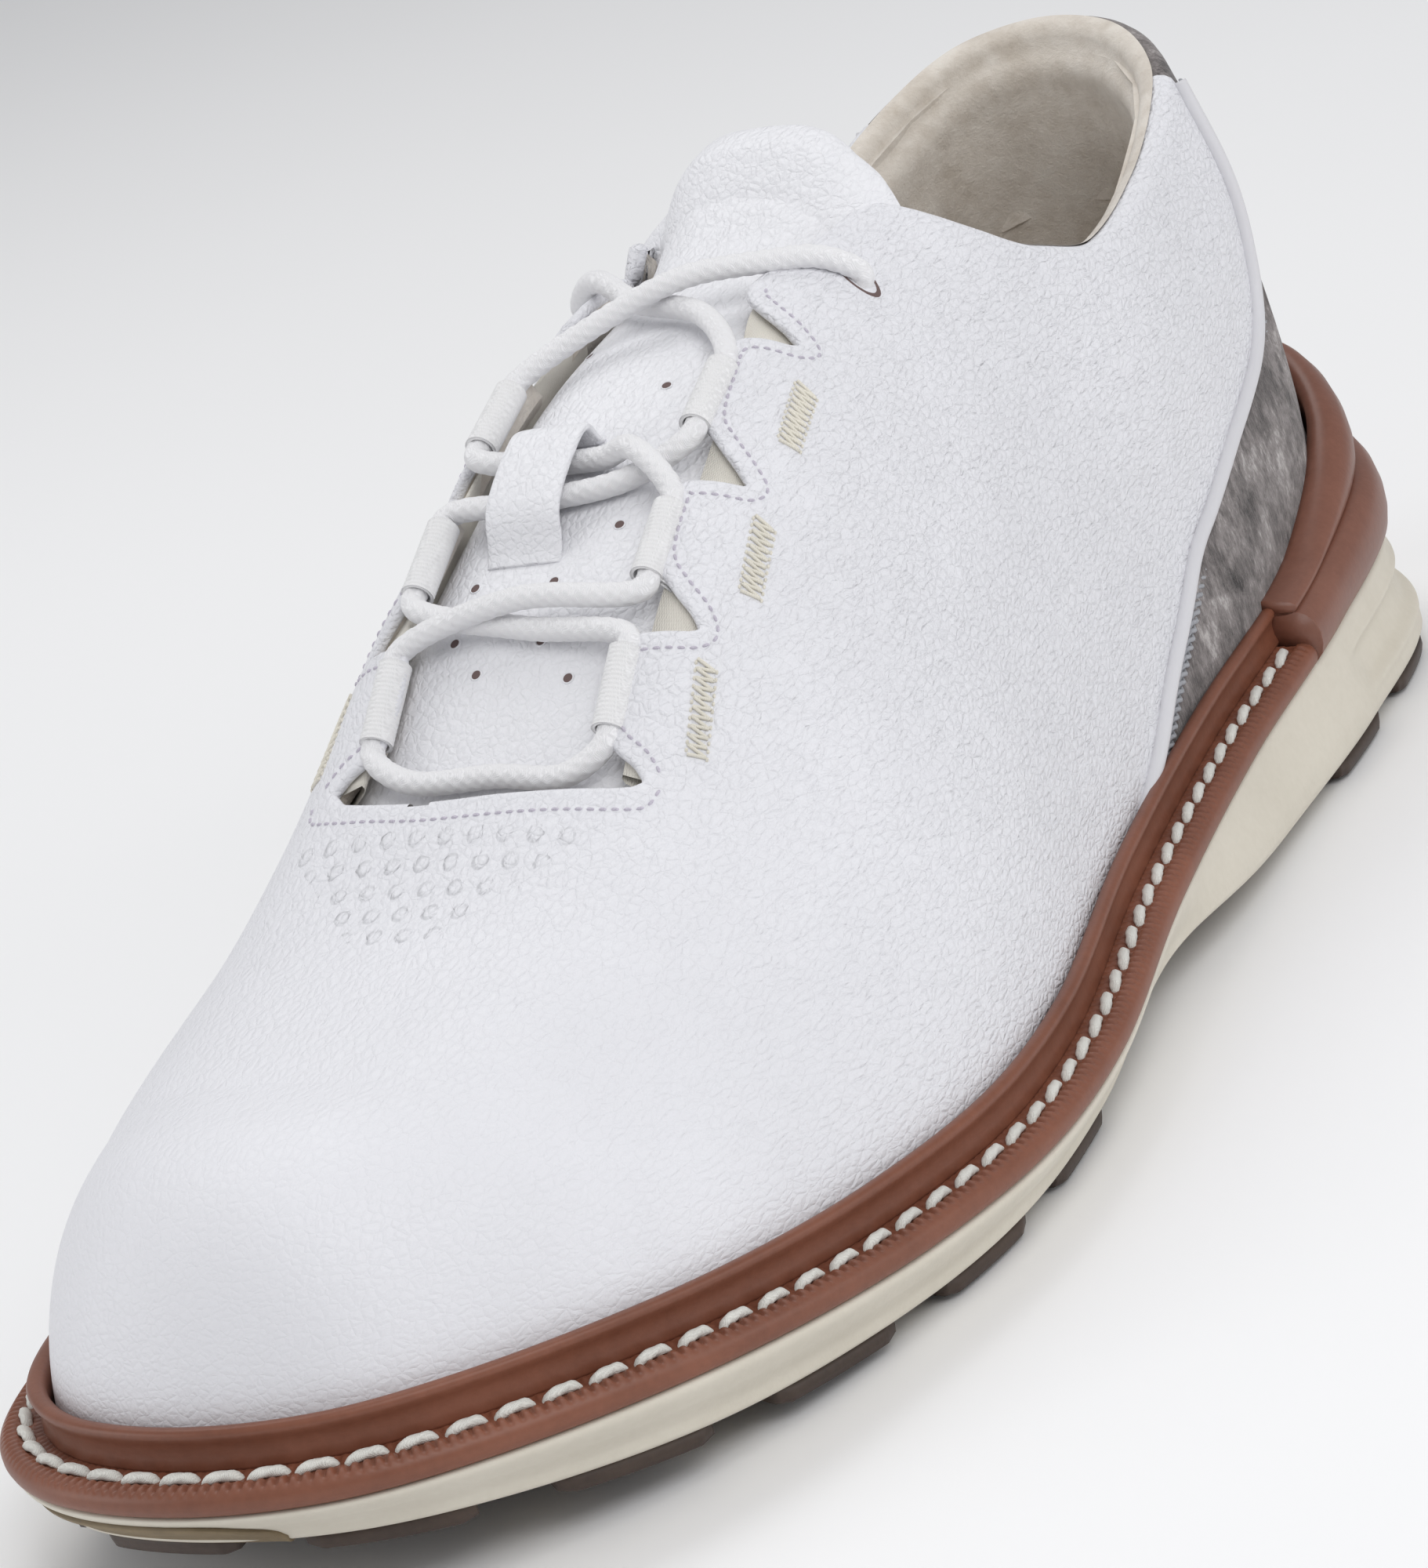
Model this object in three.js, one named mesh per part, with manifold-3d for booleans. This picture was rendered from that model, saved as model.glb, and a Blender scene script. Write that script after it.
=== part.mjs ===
// Left golf shoe with a spikeless sole, built as separate solids. Millimetres, +Z up.
// The toe points along -Y, the heel along +Y and the outer (lateral) side along +X.
// Heights of the sole and of the last are given along the length of the shoe.
import * as THREE from 'three';
import { mergeVertices } from 'three/addons/utils/BufferGeometryUtils.js';
import Module from 'manifold-3d';

const wasm = await Module();
wasm.setup();
const { Manifold, Mesh: SolidMesh } = wasm;

// ---------------------------------------------------------------- driving dimensions
// Sole outline at the welt: station along the shoe, lateral half width, medial half width.
const OUTLINE = [
  [150, 1.5, 1.5],
  [143, 24, -21],
  [125, 38.5, -34],
  [90, 44, -41],
  [50, 46, -41],
  [10, 50.5, -41],
  [-30, 57.5, -47],
  [-60, 58.5, -54],
  [-90, 52, -57],
  [-115, 42, -52],
  [-135, 26.5, -42.5],
  [-146, 11.5, -28.5],
  [-150, -8, -8],
];
// Height of the underside of the welt, which is the top of the midsole.
const WELT_HEIGHT = [
  [-150, 17],
  [-120, 14.5],
  [-80, 10.6],
  [-40, 9.3],
  [0, 11.5],
  [40, 14],
  [90, 17],
  [150, 20],
];
// Height of the ridge of the last. Past the throat it is only a construction line.
const RIDGE_HEIGHT = [
  [-108, 50],
  [-80, 57],
  [-62, 66],
  [-35, 85],
  [0, 101],
  [30, 107],
  [50, 121],
  [70, 138],
  [105, 136],
];
const HEEL_CENTRE_Y = 105;
const TOE_CENTRE_Y = -108;
const TOE_CENTRE_X = -10;
const LAST_INSET = 7.6;
const FEATHER_RISE = 3;
const FLATNESS = 0.6;
const FULLNESS = 1.3;

const TOE_SPRING = 10;
const SPRING_START_Y = -60;
const ARCH_LIFT = 3.2;
const OUTSOLE_THICK = 2.2;
const LUG_DEPTH = 1.6;
const WELT_THICK = 4.5;
const RAND_RISE = 8.9;
const GAP = 0.3;

const LEATHER = 1.6;
const STIFFENER_DEPTH = 1.9;
const STIFFENER_END = 3.1;
const LINING_DEPTH = 3.4;
const LINING_END = 4.6;
const PAD_END = 6.2;
const COLLAR_LINING_DEPTH = 6.5;
const COLLAR_LINING_END = 7.7;
const TONGUE_DEPTH = 5;
const TONGUE_END = 8.4;

// The forefoot bends about a line across the ball of the foot, level with the insole's top.
const FLEX_Y = -76;
const FLEX_Z = 20.5;
const FLEX_ANGLE = 25;

// Collar top line and the edge of the suede heel patch, seen from the side: [y, z].
const COLLAR_LINE = [
  [36, 130],
  [36, 102.5],
  [46, 93.5],
  [57, 86],
  [73, 81.5],
  [93, 84],
  [115, 91.5],
  [133, 98.5],
  [142, 101.5],
  [160, 103],
];
const PATCH_EDGE = [
  [117, 102],
  [115, 93],
  [112, 84],
  [110, 75],
  [105, 60],
  [86, 47.5],
  [62, 37],
  [37, 28.5],
  [13, 18.5],
  [9, 8],
];
// Throat opening in plan: [x, y], lateral facing edge, then front edge, then medial edge.
const THROAT = [
  [25, 60],
  [20.5, 38],
  [16.4, 25],
  [15.4, 8],
  [16.8, -4],
  [17.6, -20],
  [17.8, -35],
  [16.8, -50],
  [20.6, -59],
  [15, -63.4],
  [4, -64.8],
  [-8, -65],
  [-17, -64],
  [-23.4, -60],
  [-20.4, -50],
  [-20.6, -35],
  [-20, -20],
  [-19, -4],
  [-17.8, 8],
  [-18.4, 25],
  [-21, 38],
  [-25, 60],
];
const LOOP_STATIONS = [-50, -32, -10];
const EYELETS = [
  [22, 23],
  [-20, 23],
];
const EYELET_TILT = 0.5;
const LACE_RADIUS = 1.6;

const SECTIONS = 48;
// Moves the origin to the middle of the finished shoe's footprint.
const CENTRE_X = 0.9;
const CENTRE_Y = 0.9;

// ---------------------------------------------------------------- curves and tables
function smoothTable(table, value) {
  const last = table.length - 1;
  const at = Math.min(Math.max(value, table[0][0]), table[last][0]);
  let i = 0;
  while (i < last - 1 && at >= table[i + 1][0]) i += 1;
  const slope = (k) => (table[k + 1][1] - table[k][1]) / (table[k + 1][0] - table[k][0]);
  const tangent = (k) => {
    if (k === 0) return slope(0);
    if (k === last) return slope(last - 1);
    const a = slope(k - 1);
    const b = slope(k);
    return a * b <= 0 ? 0 : (2 * a * b) / (a + b);
  };
  const span = table[i + 1][0] - table[i][0];
  const t = (at - table[i][0]) / span;
  const rise = table[i][1] * (1 + 2 * t) * (1 - t) ** 2 + table[i + 1][1] * t * t * (3 - 2 * t);
  return rise + span * (tangent(i) * t * (1 - t) ** 2 + tangent(i + 1) * t * t * (t - 1));
}
const weltZ = (y) => smoothTable(WELT_HEIGHT, y);
const ridgeZ = (y) => smoothTable(RIDGE_HEIGHT, y);

function groundZ(y) {
  const toe = Math.max(0, (SPRING_START_Y - y) / 90);
  const arch = Math.exp(-(((y - 12) / 26) ** 2));
  return TOE_SPRING * toe * toe + ARCH_LIFT * arch;
}

const outlineCurve = new THREE.CatmullRomCurve3(
  [
    ...OUTLINE.map(([y, lateral]) => new THREE.Vector3(lateral, y, 0)),
    ...OUTLINE.slice(1, -1).reverse().map(([y, , medial]) => new THREE.Vector3(medial, y, 0)),
  ],
  true,
  'centripetal',
);
outlineCurve.arcLengthDivisions = 900;

// A point on the outline, moved inwards. The fraction runs heel, lateral, toe, medial.
function outlineAt(fraction, inset) {
  const u = ((fraction % 1) + 1) % 1;
  const p = outlineCurve.getPointAt(u);
  const t = outlineCurve.getTangentAt(u);
  return new THREE.Vector2(p.x + t.y * inset, p.y - t.x * inset);
}
const inwards = outlineAt(0.25, 10).x < outlineAt(0.25, 0).x ? 1 : -1;
const edge = (fraction, inset) => outlineAt(fraction, inset * inwards);

function spineX(y) {
  const t = THREE.MathUtils.clamp((HEEL_CENTRE_Y - y) / (HEEL_CENTRE_Y - TOE_CENTRE_Y), 0, 1);
  return TOE_CENTRE_X * t * t * (3 - 2 * t);
}

// A point on the last: fraction round the outline, angle up from the feather line (degrees).
function lastPoint(fraction, angle, depth) {
  const foot = edge(fraction, LAST_INSET + depth);
  const y = THREE.MathUtils.clamp(foot.y, TOE_CENTRE_Y, HEEL_CENTRE_Y);
  const low = weltZ(foot.y) + FEATHER_RISE;
  const high = ridgeZ(y) - depth;
  const phi = THREE.MathUtils.degToRad(angle);
  const h = 1 - Math.cos(phi) ** FLATNESS;
  const g = Math.sin(phi) ** FULLNESS;
  return new THREE.Vector3(
    foot.x * (1 - h) + spineX(y) * h,
    foot.y * (1 - h) + y * h,
    low + (high - low) * g,
  );
}

// Height of the last over a point of the plan, between the toe and heel centres.
function lastHeight(x, y, depth) {
  const side = x > spineX(y) ? [0.02, 0.5] : [0.98, 0.5];
  let [a, b] = side;
  for (let i = 0; i < 40; i += 1) {
    const mid = (a + b) / 2;
    if (edge(mid, LAST_INSET + depth).y > y) a = mid;
    else b = mid;
  }
  const foot = edge(a, LAST_INSET + depth);
  const ratio = THREE.MathUtils.clamp((x - spineX(y)) / (foot.x - spineX(y)), 0, 1);
  const phi = Math.acos(ratio ** (1 / FLATNESS));
  const low = weltZ(y) + FEATHER_RISE;
  return low + (ridgeZ(y) - depth - low) * Math.sin(phi) ** FULLNESS;
}

// ---------------------------------------------------------------- solids
function fromGeometry(geometry) {
  let g = geometry.clone();
  g.deleteAttribute('normal');
  g.deleteAttribute('uv');
  g = mergeVertices(g, 1e-4);
  return new Manifold(
    new SolidMesh({
      numProp: 3,
      vertProperties: new Float32Array(g.attributes.position.array),
      triVerts: new Uint32Array(g.index.array),
    }),
  );
}

function fromTriangles(points, triangles) {
  const g = new THREE.BufferGeometry();
  const flat = points.flatMap((p) => [p.x, p.y, p.z]);
  g.setAttribute('position', new THREE.Float32BufferAttribute(flat, 3));
  let volume = 0;
  for (const [a, b, c] of triangles) {
    volume += points[a].dot(new THREE.Vector3().crossVectors(points[b], points[c]));
  }
  const order = volume > 0 ? triangles : triangles.map(([a, b, c]) => [a, c, b]);
  g.setIndex(order.flat());
  return fromGeometry(g);
}

// Rings of equal length joined side by side, with both ends closed by strips from side to side.
function stack(rings) {
  const count = rings[0].length;
  const points = rings.flat();
  const triangles = [];
  for (let r = 0; r < rings.length - 1; r += 1) {
    for (let i = 0; i < count; i += 1) {
      const j = (i + 1) % count;
      const a = r * count;
      const b = a + count;
      triangles.push([a + i, a + j, b + j], [a + i, b + j, b + i]);
    }
  }
  const cap = (base, flip) => {
    for (let i = 0; i < count / 2; i += 1) {
      const a = base + i;
      const b = base + i + 1;
      const c = base + ((count - i - 1) % count);
      const d = base + ((count - i) % count);
      const quad = [];
      if (i > 0) quad.push([a, c, d]);
      if (i < count / 2 - 1) quad.push([a, b, c]);
      for (const [p, q, s] of quad) triangles.push(flip ? [p, q, s] : [p, s, q]);
    }
  };
  cap(0, false);
  cap((rings.length - 1) * count, true);
  return fromTriangles(points, triangles);
}

function ring(inset, height) {
  const points = [];
  for (let i = 0; i < SECTIONS; i += 1) {
    const u = i / SECTIONS;
    const p = edge(u, typeof inset === 'function' ? inset(u) : inset);
    points.push(new THREE.Vector3(p.x, p.y, height(p.y, u)));
  }
  return points;
}

// A closed section of [inset, z] points swept along part of the outline, or all round it.
function sweep(from, to, steps, section) {
  const closed = to - from >= 1;
  const rows = closed ? steps : steps + 1;
  const points = [];
  const triangles = [];
  const size = section(from).length;
  for (let k = 0; k < rows; k += 1) {
    const u = from + ((to - from) * k) / steps;
    for (const [inset, z] of section(u)) {
      const p = edge(u, inset);
      points.push(new THREE.Vector3(p.x, p.y, z));
    }
  }
  for (let k = 0; k < steps; k += 1) {
    const a = (k % rows) * size;
    const b = ((k + 1) % rows) * size;
    for (let i = 0; i < size; i += 1) {
      const j = (i + 1) % size;
      triangles.push([a + i, a + j, b + j], [a + i, b + j, b + i]);
    }
  }
  if (!closed) {
    const flat = section(from).map(([x, y]) => new THREE.Vector2(x, y));
    const turned = THREE.ShapeUtils.area(flat) < 0;
    const cap = THREE.ShapeUtils.triangulateShape(turned ? flat.slice().reverse() : flat, []);
    const index = (i) => (turned ? size - 1 - i : i);
    for (const [a, b, c] of cap) {
      const [i, j, k] = [index(a), index(b), index(c)];
      const end = (rows - 1) * size;
      triangles.push(turned ? [i, j, k] : [i, k, j]);
      triangles.push(turned ? [end + i, end + k, end + j] : [end + i, end + j, end + k]);
    }
  }
  return fromTriangles(points, triangles);
}

function lastSolid(depth) {
  const rings = [];
  const below = ring(LAST_INSET + depth, (y) => weltZ(y) + FEATHER_RISE - 12);
  rings.push(below);
  for (const angle of [0, 9, 18, 28, 38, 48, 58, 67, 76, 87]) {
    const row = [];
    for (let i = 0; i < SECTIONS; i += 1) row.push(lastPoint(i / SECTIONS, angle, depth));
    rings.push(row);
  }
  return stack(rings);
}

function prism(profile, axis, from, to) {
  const shape = new THREE.Shape(profile.map(([a, b]) => new THREE.Vector2(a, b)));
  const g = new THREE.ExtrudeGeometry(shape, { depth: to - from, bevelEnabled: false });
  g.translate(0, 0, from);
  if (axis === 'x') {
    const turn = new THREE.Matrix4().set(0, 0, 1, 0, 1, 0, 0, 0, 0, 1, 0, 0, 0, 0, 0, 1);
    g.applyMatrix4(turn);
  }
  return fromGeometry(g);
}

function box(x0, x1, y0, y1, z0, z1) {
  const g = new THREE.BoxGeometry(x1 - x0, y1 - y0, z1 - z0);
  g.translate((x0 + x1) / 2, (y0 + y1) / 2, (z0 + z1) / 2);
  return fromGeometry(g);
}

function tube(points, radius, sides, steps) {
  const path = new THREE.CatmullRomCurve3(points, false, 'centripetal');
  const round = new THREE.Shape();
  round.absarc(0, 0, radius, 0, Math.PI * 2, false);
  const g = new THREE.ExtrudeGeometry(round, {
    steps,
    curveSegments: sides / 2,
    bevelEnabled: false,
    extrudePath: path,
  });
  return fromGeometry(g);
}

// Smooths a line of [a, b] points for use as a profile.
function smoothLine(line, count) {
  const curve = new THREE.CatmullRomCurve3(
    line.map(([a, b]) => new THREE.Vector3(a, b, 0)),
    false,
    'centripetal',
  );
  return curve.getPoints(count).map((p) => [p.x, p.y]);
}

const WIDE = 90;
const rear = box(-WIDE, WIDE, FLEX_Y + GAP / 2, 200, -20, 160);
const fore = box(-WIDE, WIDE, -200, FLEX_Y - GAP / 2, -20, 160);

// The forefoot of the upper stops at a slope, so that it can tip up without meeting the rear.
const slope = Math.tan(THREE.MathUtils.degToRad(FLEX_ANGLE + 1));
const slopeProfile = (shift) => [
  [-200, -20],
  [FLEX_Y - GAP / 2 - shift, -20],
  [FLEX_Y - GAP / 2 - shift, FLEX_Z - 3],
  [FLEX_Y - GAP / 2 - shift - (140 - FLEX_Z + 3) * slope, 140],
  [-200, 140],
];
const foreUpper = prism(slopeProfile(0), 'x', -WIDE, WIDE);
const behindSlope = prism(
  [
    [FLEX_Y - GAP / 2 - 0.1, -20],
    [200, -20],
    [200, 140],
    [FLEX_Y + GAP - (140 - FLEX_Z + 3) * slope, 140],
    [FLEX_Y + GAP, FLEX_Z - 3],
  ],
  'x',
  -WIDE,
  WIDE,
);

// ---------------------------------------------------------------- scene graph
const shoe = new THREE.Group();
shoe.name = 'golf_shoe';

function add(name, solid, colour, roughness, metalness = 0) {
  const mesh = solid.getMesh();
  const g = new THREE.BufferGeometry();
  g.setAttribute('position', new THREE.Float32BufferAttribute(mesh.vertProperties, 3));
  g.setIndex(Array.from(mesh.triVerts));
  g.translate(-CENTRE_X, -CENTRE_Y, 0);
  g.computeVertexNormals();
  const material = new THREE.MeshStandardMaterial({ color: colour, roughness, metalness });
  const node = new THREE.Mesh(g, material);
  node.name = name;
  shoe.add(node);
}

const WHITE = 0xe8e7ec;
const OFF_WHITE = 0xdfddd8;
const CREAM = 0xc9c3b7;
const OLIVE = 0x6b5d40;
const BROWN = 0x6e4434;
const SUEDE = 0x756d6b;
const BEIGE = 0xb8b1a2;
const TAN = 0x8a6f50;

// ---------------------------------------------------------------- sole
const heelward = (y) => 1 / (1 + Math.exp(-(y - 15) / 8));
const bottomInset = (u) => {
  const y = edge(u, 0).y;
  return 4.9 - 6.5 * heelward(y);
};
const outsoleTop = (y) => groundZ(y) + LUG_DEPTH + OUTSOLE_THICK;

const midsole = stack([
  ring((u) => bottomInset(u) + 1.4, (y) => outsoleTop(y) + GAP),
  ring(bottomInset, (y) => outsoleTop(y) + 1.6),
  ring((u) => bottomInset(u) * 0.45 + 0.3, (y) => (outsoleTop(y) + weltZ(y)) / 2 + 0.6),
  ring(0.8, (y) => weltZ(y) - GAP),
]);
add('midsole_heel_and_arch', midsole.intersect(rear), CREAM, 0.62);
add('midsole_forefoot', midsole.intersect(fore), CREAM, 0.62);

const outsole = stack([
  ring((u) => bottomInset(u) + 3.4, (y) => groundZ(y) + LUG_DEPTH),
  ring((u) => bottomInset(u) + 1.9, (y) => groundZ(y) + LUG_DEPTH + OUTSOLE_THICK),
]);

// Wedge lugs under the outsole, in rows from side to side. Their bases sink into the plate.
function lugs(rows, perRow, margin) {
  let all = null;
  for (const [y, shift] of rows) {
    const left = edgeX(y, false) + margin;
    const right = edgeX(y, true) - margin;
    for (let i = 0; i < perRow; i += 1) {
      const x = THREE.MathUtils.lerp(left, right, (i + 0.5 + shift) / perRow);
      if (x < left || x > right) continue;
      const g = new THREE.CylinderGeometry(5.6, 4.2, LUG_DEPTH + 1, 6);
      g.rotateX(Math.PI / 2);
      g.translate(x, y, 0);
      const position = g.attributes.position;
      for (let k = 0; k < position.count; k += 1) {
        const low = position.getZ(k) < 0;
        const lift = groundZ(position.getY(k));
        position.setZ(k, low ? lift : lift + LUG_DEPTH + 0.8);
      }
      const lug = fromGeometry(g);
      all = all ? all.add(lug) : lug;
    }
  }
  return all;
}
function edgeX(y, lateral) {
  let [a, b] = lateral ? [0, 0.5] : [1, 0.5];
  for (let i = 0; i < 40; i += 1) {
    const mid = (a + b) / 2;
    if (edge(mid, 0).y > y) a = mid;
    else b = mid;
  }
  return edge(a, 0).x;
}
const foreRows = [
  [-128, 0],
  [-112, 0.25],
  [-96, -0.1],
];
const ballRows = [
  [-62, 0.2],
  [-44, -0.2],
  [-24, 0.1],
];
const heelRows = [
  [56, 0.1],
  [76, -0.1],
  [98, 0.1],
  [120, 0],
];
add('outsole_toe', outsole.intersect(fore).add(lugs(foreRows, 5, 14)), OLIVE, 0.7);
add(
  'outsole_ball',
  outsole
    .intersect(box(-WIDE, WIDE, FLEX_Y + GAP / 2, -8, -20, 160))
    .add(lugs(ballRows, 6, 13)),
  OLIVE,
  0.7,
);
add(
  'outsole_arch',
  outsole.intersect(box(-WIDE, WIDE, -8 + GAP, 38, -20, 160)),
  CREAM,
  0.66,
);
add(
  'outsole_heel',
  outsole
    .intersect(box(-WIDE, WIDE, 38 + GAP, 200, -20, 160))
    .add(lugs(heelRows, 4, 12)),
  OLIVE,
  0.7,
);

// Welt: a flat ledge with a rounded outer edge. It ends at the sides of the heel.
const WELT_END = 0.135;
const onWelt = (u, inset, rise) => [inset, weltZ(edge(u, inset).y) + rise];
const weltSection = (u) => [
  onWelt(u, 1.2, 0),
  onWelt(u, 0.1, 1.4),
  onWelt(u, 0.2, 3),
  onWelt(u, 1.4, 4.2),
  onWelt(u, 2.2, WELT_THICK),
  onWelt(u, 12.4, WELT_THICK),
  onWelt(u, 12.4, 0),
];
const welt = sweep(WELT_END, 1 - WELT_END, 42, weltSection);
add('welt_rear_lateral', welt.intersect(rear).intersect(box(0, 90, -90, 200, 0, 90)), BROWN, 0.55);
add('welt_rear_medial', welt.intersect(rear).intersect(box(-90, 0, -90, 200, 0, 90)), BROWN, 0.55);
add('welt_toe', welt.intersect(fore), BROWN, 0.55);

// Rand: the wall with a rounded bead that stands on the welt and hugs the upper.
const randSection = (u) => [
  onWelt(u, 7.1, WELT_THICK + GAP),
  onWelt(u, 5.9, WELT_THICK + GAP),
  onWelt(u, 5.9, RAND_RISE - 2.2),
  onWelt(u, 5.1, RAND_RISE - 1.4),
  onWelt(u, 5.3, RAND_RISE - 0.3),
  onWelt(u, 6.2, RAND_RISE),
  onWelt(u, 7.1, RAND_RISE - 0.6),
];
const rand = sweep(WELT_END, 1 - WELT_END, 42, randSection);
add('rand_rear_lateral', rand.intersect(rear).intersect(box(0, 90, -90, 200, 0, 90)), BROWN, 0.5);
add('rand_rear_medial', rand.intersect(rear).intersect(box(-90, 0, -90, 200, 0, 90)), BROWN, 0.5);
add('rand_toe', rand.intersect(fore), BROWN, 0.5);

// Welt stitching: one line of thick thread that lies on the ledge.
const stitch = sweep(WELT_END + 0.004, 1 - WELT_END - 0.004, 60, (u) => [
  onWelt(u, 3.3, WELT_THICK + 0.2),
  onWelt(u, 3.5, WELT_THICK + 1),
  onWelt(u, 4.3, WELT_THICK + 1),
  onWelt(u, 4.5, WELT_THICK + 0.2),
]);
const stitchRear = stitch.intersect(rear);
add('welt_thread_lateral', stitchRear.intersect(box(0, 90, -90, 200, 0, 90)), OFF_WHITE, 0.8);
add('welt_thread_medial', stitchRear.intersect(box(-90, 0, -90, 200, 0, 90)), OFF_WHITE, 0.8);
add('welt_thread_toe', stitch.intersect(fore), OFF_WHITE, 0.8);

// Heel cup: two stacked rounded lobes that wrap the heel and run out along the sides.
const CUP_END = WELT_END - 0.001;
const cupRise = (u) => {
  const away = Math.abs(u) / CUP_END;
  return 1 - 0.66 * THREE.MathUtils.smoothstep(away, 0.2, 1);
};
const lowerLobe = sweep(-CUP_END, CUP_END, 18, (u) => {
  const z = weltZ(edge(u, 4).y);
  const tall = 13 * (0.42 + 0.58 * cupRise(u));
  return [
    [1, z],
    [-0.6, z + tall * 0.3],
    [-0.7, z + tall * 0.62],
    [0.8, z + tall * 0.92],
    [2.4, z + tall],
    [7, z + tall],
    [7, z],
  ];
});
const upperLobe = sweep(-CUP_END, CUP_END, 18, (u) => {
  const z = weltZ(edge(u, 4).y) + 13 * (0.42 + 0.58 * cupRise(u)) + GAP;
  const top = weltZ(edge(u, 4).y) + RAND_RISE + 17.5 * (cupRise(u) - 0.34) / 0.66;
  const tall = Math.max(top - z, 2.2);
  return [
    [3, z],
    [1.9, z + tall * 0.2],
    [1.9, z + tall * 0.55],
    [3.2, z + tall * 0.88],
    [4.8, z + tall],
    [7, z + tall * 0.94],
    [7, z],
  ];
});
const wholeLast = lastSolid(-0.3);
add('heel_cup_lower', lowerLobe.subtract(wholeLast), BROWN, 0.5);
add('heel_cup_upper', upperLobe.subtract(wholeLast), BROWN, 0.5);

// Inside the sole: filler inside the welt, steel shank, insole board, cushioned insole.
const SHANK_WIDTH = 15;
const shankLine = [
  [-30, 0],
  [20, 0.6],
  [100, 0],
];
const shankLevel = (y) => weltZ(y) + 1.2 + smoothTable(shankLine, y);
const shankStations = [-34, -10, 15, 40, 65, 92];
function strip(halfWidth, stations, low, high) {
  const points = [];
  const triangles = [];
  for (const y of stations) {
    const x = spineX(y);
    for (const [dx, z] of [[-1, low(y)], [1, low(y)], [1, high(y)], [-1, high(y)]]) {
      points.push(new THREE.Vector3(x + dx * halfWidth, y, z));
    }
  }
  for (let k = 0; k < stations.length - 1; k += 1) {
    for (let i = 0; i < 4; i += 1) {
      const j = (i + 1) % 4;
      const a = k * 4;
      triangles.push([a + i, a + j, a + 4 + j], [a + i, a + 4 + j, a + 4 + i]);
    }
  }
  const end = (stations.length - 1) * 4;
  triangles.push([0, 2, 1], [0, 3, 2], [end, end + 1, end + 2], [end, end + 2, end + 3]);
  return fromTriangles(points, triangles);
}
const shank = strip(SHANK_WIDTH / 2, shankStations, shankLevel, (y) => shankLevel(y) + 1.2);
const shankPocket = strip(
  SHANK_WIDTH / 2 + GAP,
  [-34.4, -10, 15, 40, 65, 92.4],
  (y) => shankLevel(y) - GAP,
  (y) => shankLevel(y) + 10,
);
const filler = stack([
  ring(12.9, (y) => weltZ(y)),
  ring(12.9, (y) => weltZ(y) + 3),
]);
add('shank', shank, 0x9a9ea3, 0.35, 0.9);
add('filler_rear', filler.intersect(rear).subtract(shankPocket), TAN, 0.9);
add('filler_toe', filler.intersect(fore), TAN, 0.9);

const inside = (inset) => inset + LAST_INSET + LINING_END;
const board = stack([
  ring(inside(0.5), (y) => weltZ(y) + WELT_THICK + GAP),
  ring(inside(0.5), (y) => weltZ(y) + WELT_THICK + GAP + 1.6),
]);
add('insole_board_rear', board.intersect(rear), TAN, 0.9);
add('insole_board_toe', board.intersect(fore), TAN, 0.9);

const cup = (y) => 1.6 * heelward(y + 30);
const insole = stack([
  ring(inside(1.8), (y) => weltZ(y) + WELT_THICK + GAP * 2 + 1.6),
  ring(inside(2.2), (y) => weltZ(y) + WELT_THICK + GAP * 2 + 4.4 + cup(y)),
  ring(inside(5.5), (y) => weltZ(y) + WELT_THICK + GAP * 2 + 4.6),
]);
add('insole_rear', insole.intersect(rear), 0x74614f, 0.85);
add('insole_toe', insole.intersect(fore), 0x74614f, 0.85);

// ---------------------------------------------------------------- upper
const collarCut = prism([...smoothLine(COLLAR_LINE.slice(1), 14), [160, 170], [36, 170]], 'x', -WIDE, WIDE);
const throatLine = smoothLine(THROAT, 34);
const throatCut = prism(throatLine, 'z', 48, 170);
const opening = collarCut.add(throatCut);

const patchLine = smoothLine(PATCH_EDGE.slice(1, -1), 16);
const patchRegion = prism([...patchLine, [13, 2], [170, 2], [170, 130], [116, 130]], 'x', -WIDE, WIDE);
const patchKeepOut = prism(
  [...patchLine.map(([y, z]) => [y - 0.25, z + 0.2]), [12, 2], [170, 2], [170, 130], [115, 130]],
  'x',
  -WIDE,
  WIDE,
);

const floorCut = stack([
  ring(0, (y) => weltZ(y) - 30),
  ring(0, (y) => weltZ(y) + WELT_THICK + GAP),
]);
const depths = new Map();
function lastAt(depth) {
  if (!depths.has(depth)) depths.set(depth, lastSolid(depth));
  return depths.get(depth);
}
const shell = (from, to) => lastAt(from).subtract(lastAt(to)).subtract(floorCut);

// Punched hole at the top of each facing, square to the leather.
function eyelets(radius) {
  const holes = EYELETS.map(([x, y]) => {
    const g = new THREE.CylinderGeometry(radius, radius, 34, 12);
    g.rotateX(Math.PI / 2);
    g.rotateY(Math.sign(x) * EYELET_TILT);
    g.translate(x, y, lastHeight(x, y, 0));
    return fromGeometry(g);
  });
  return holes[0].add(holes[1]);
}
const throughEyelet = ([x, y], along) =>
  new THREE.Vector3(
    x + Math.sign(x) * Math.sin(EYELET_TILT) * along,
    y,
    lastHeight(x, y, 0) + Math.cos(EYELET_TILT) * along,
  );
const lacePorts = eyelets(3.1);

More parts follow.
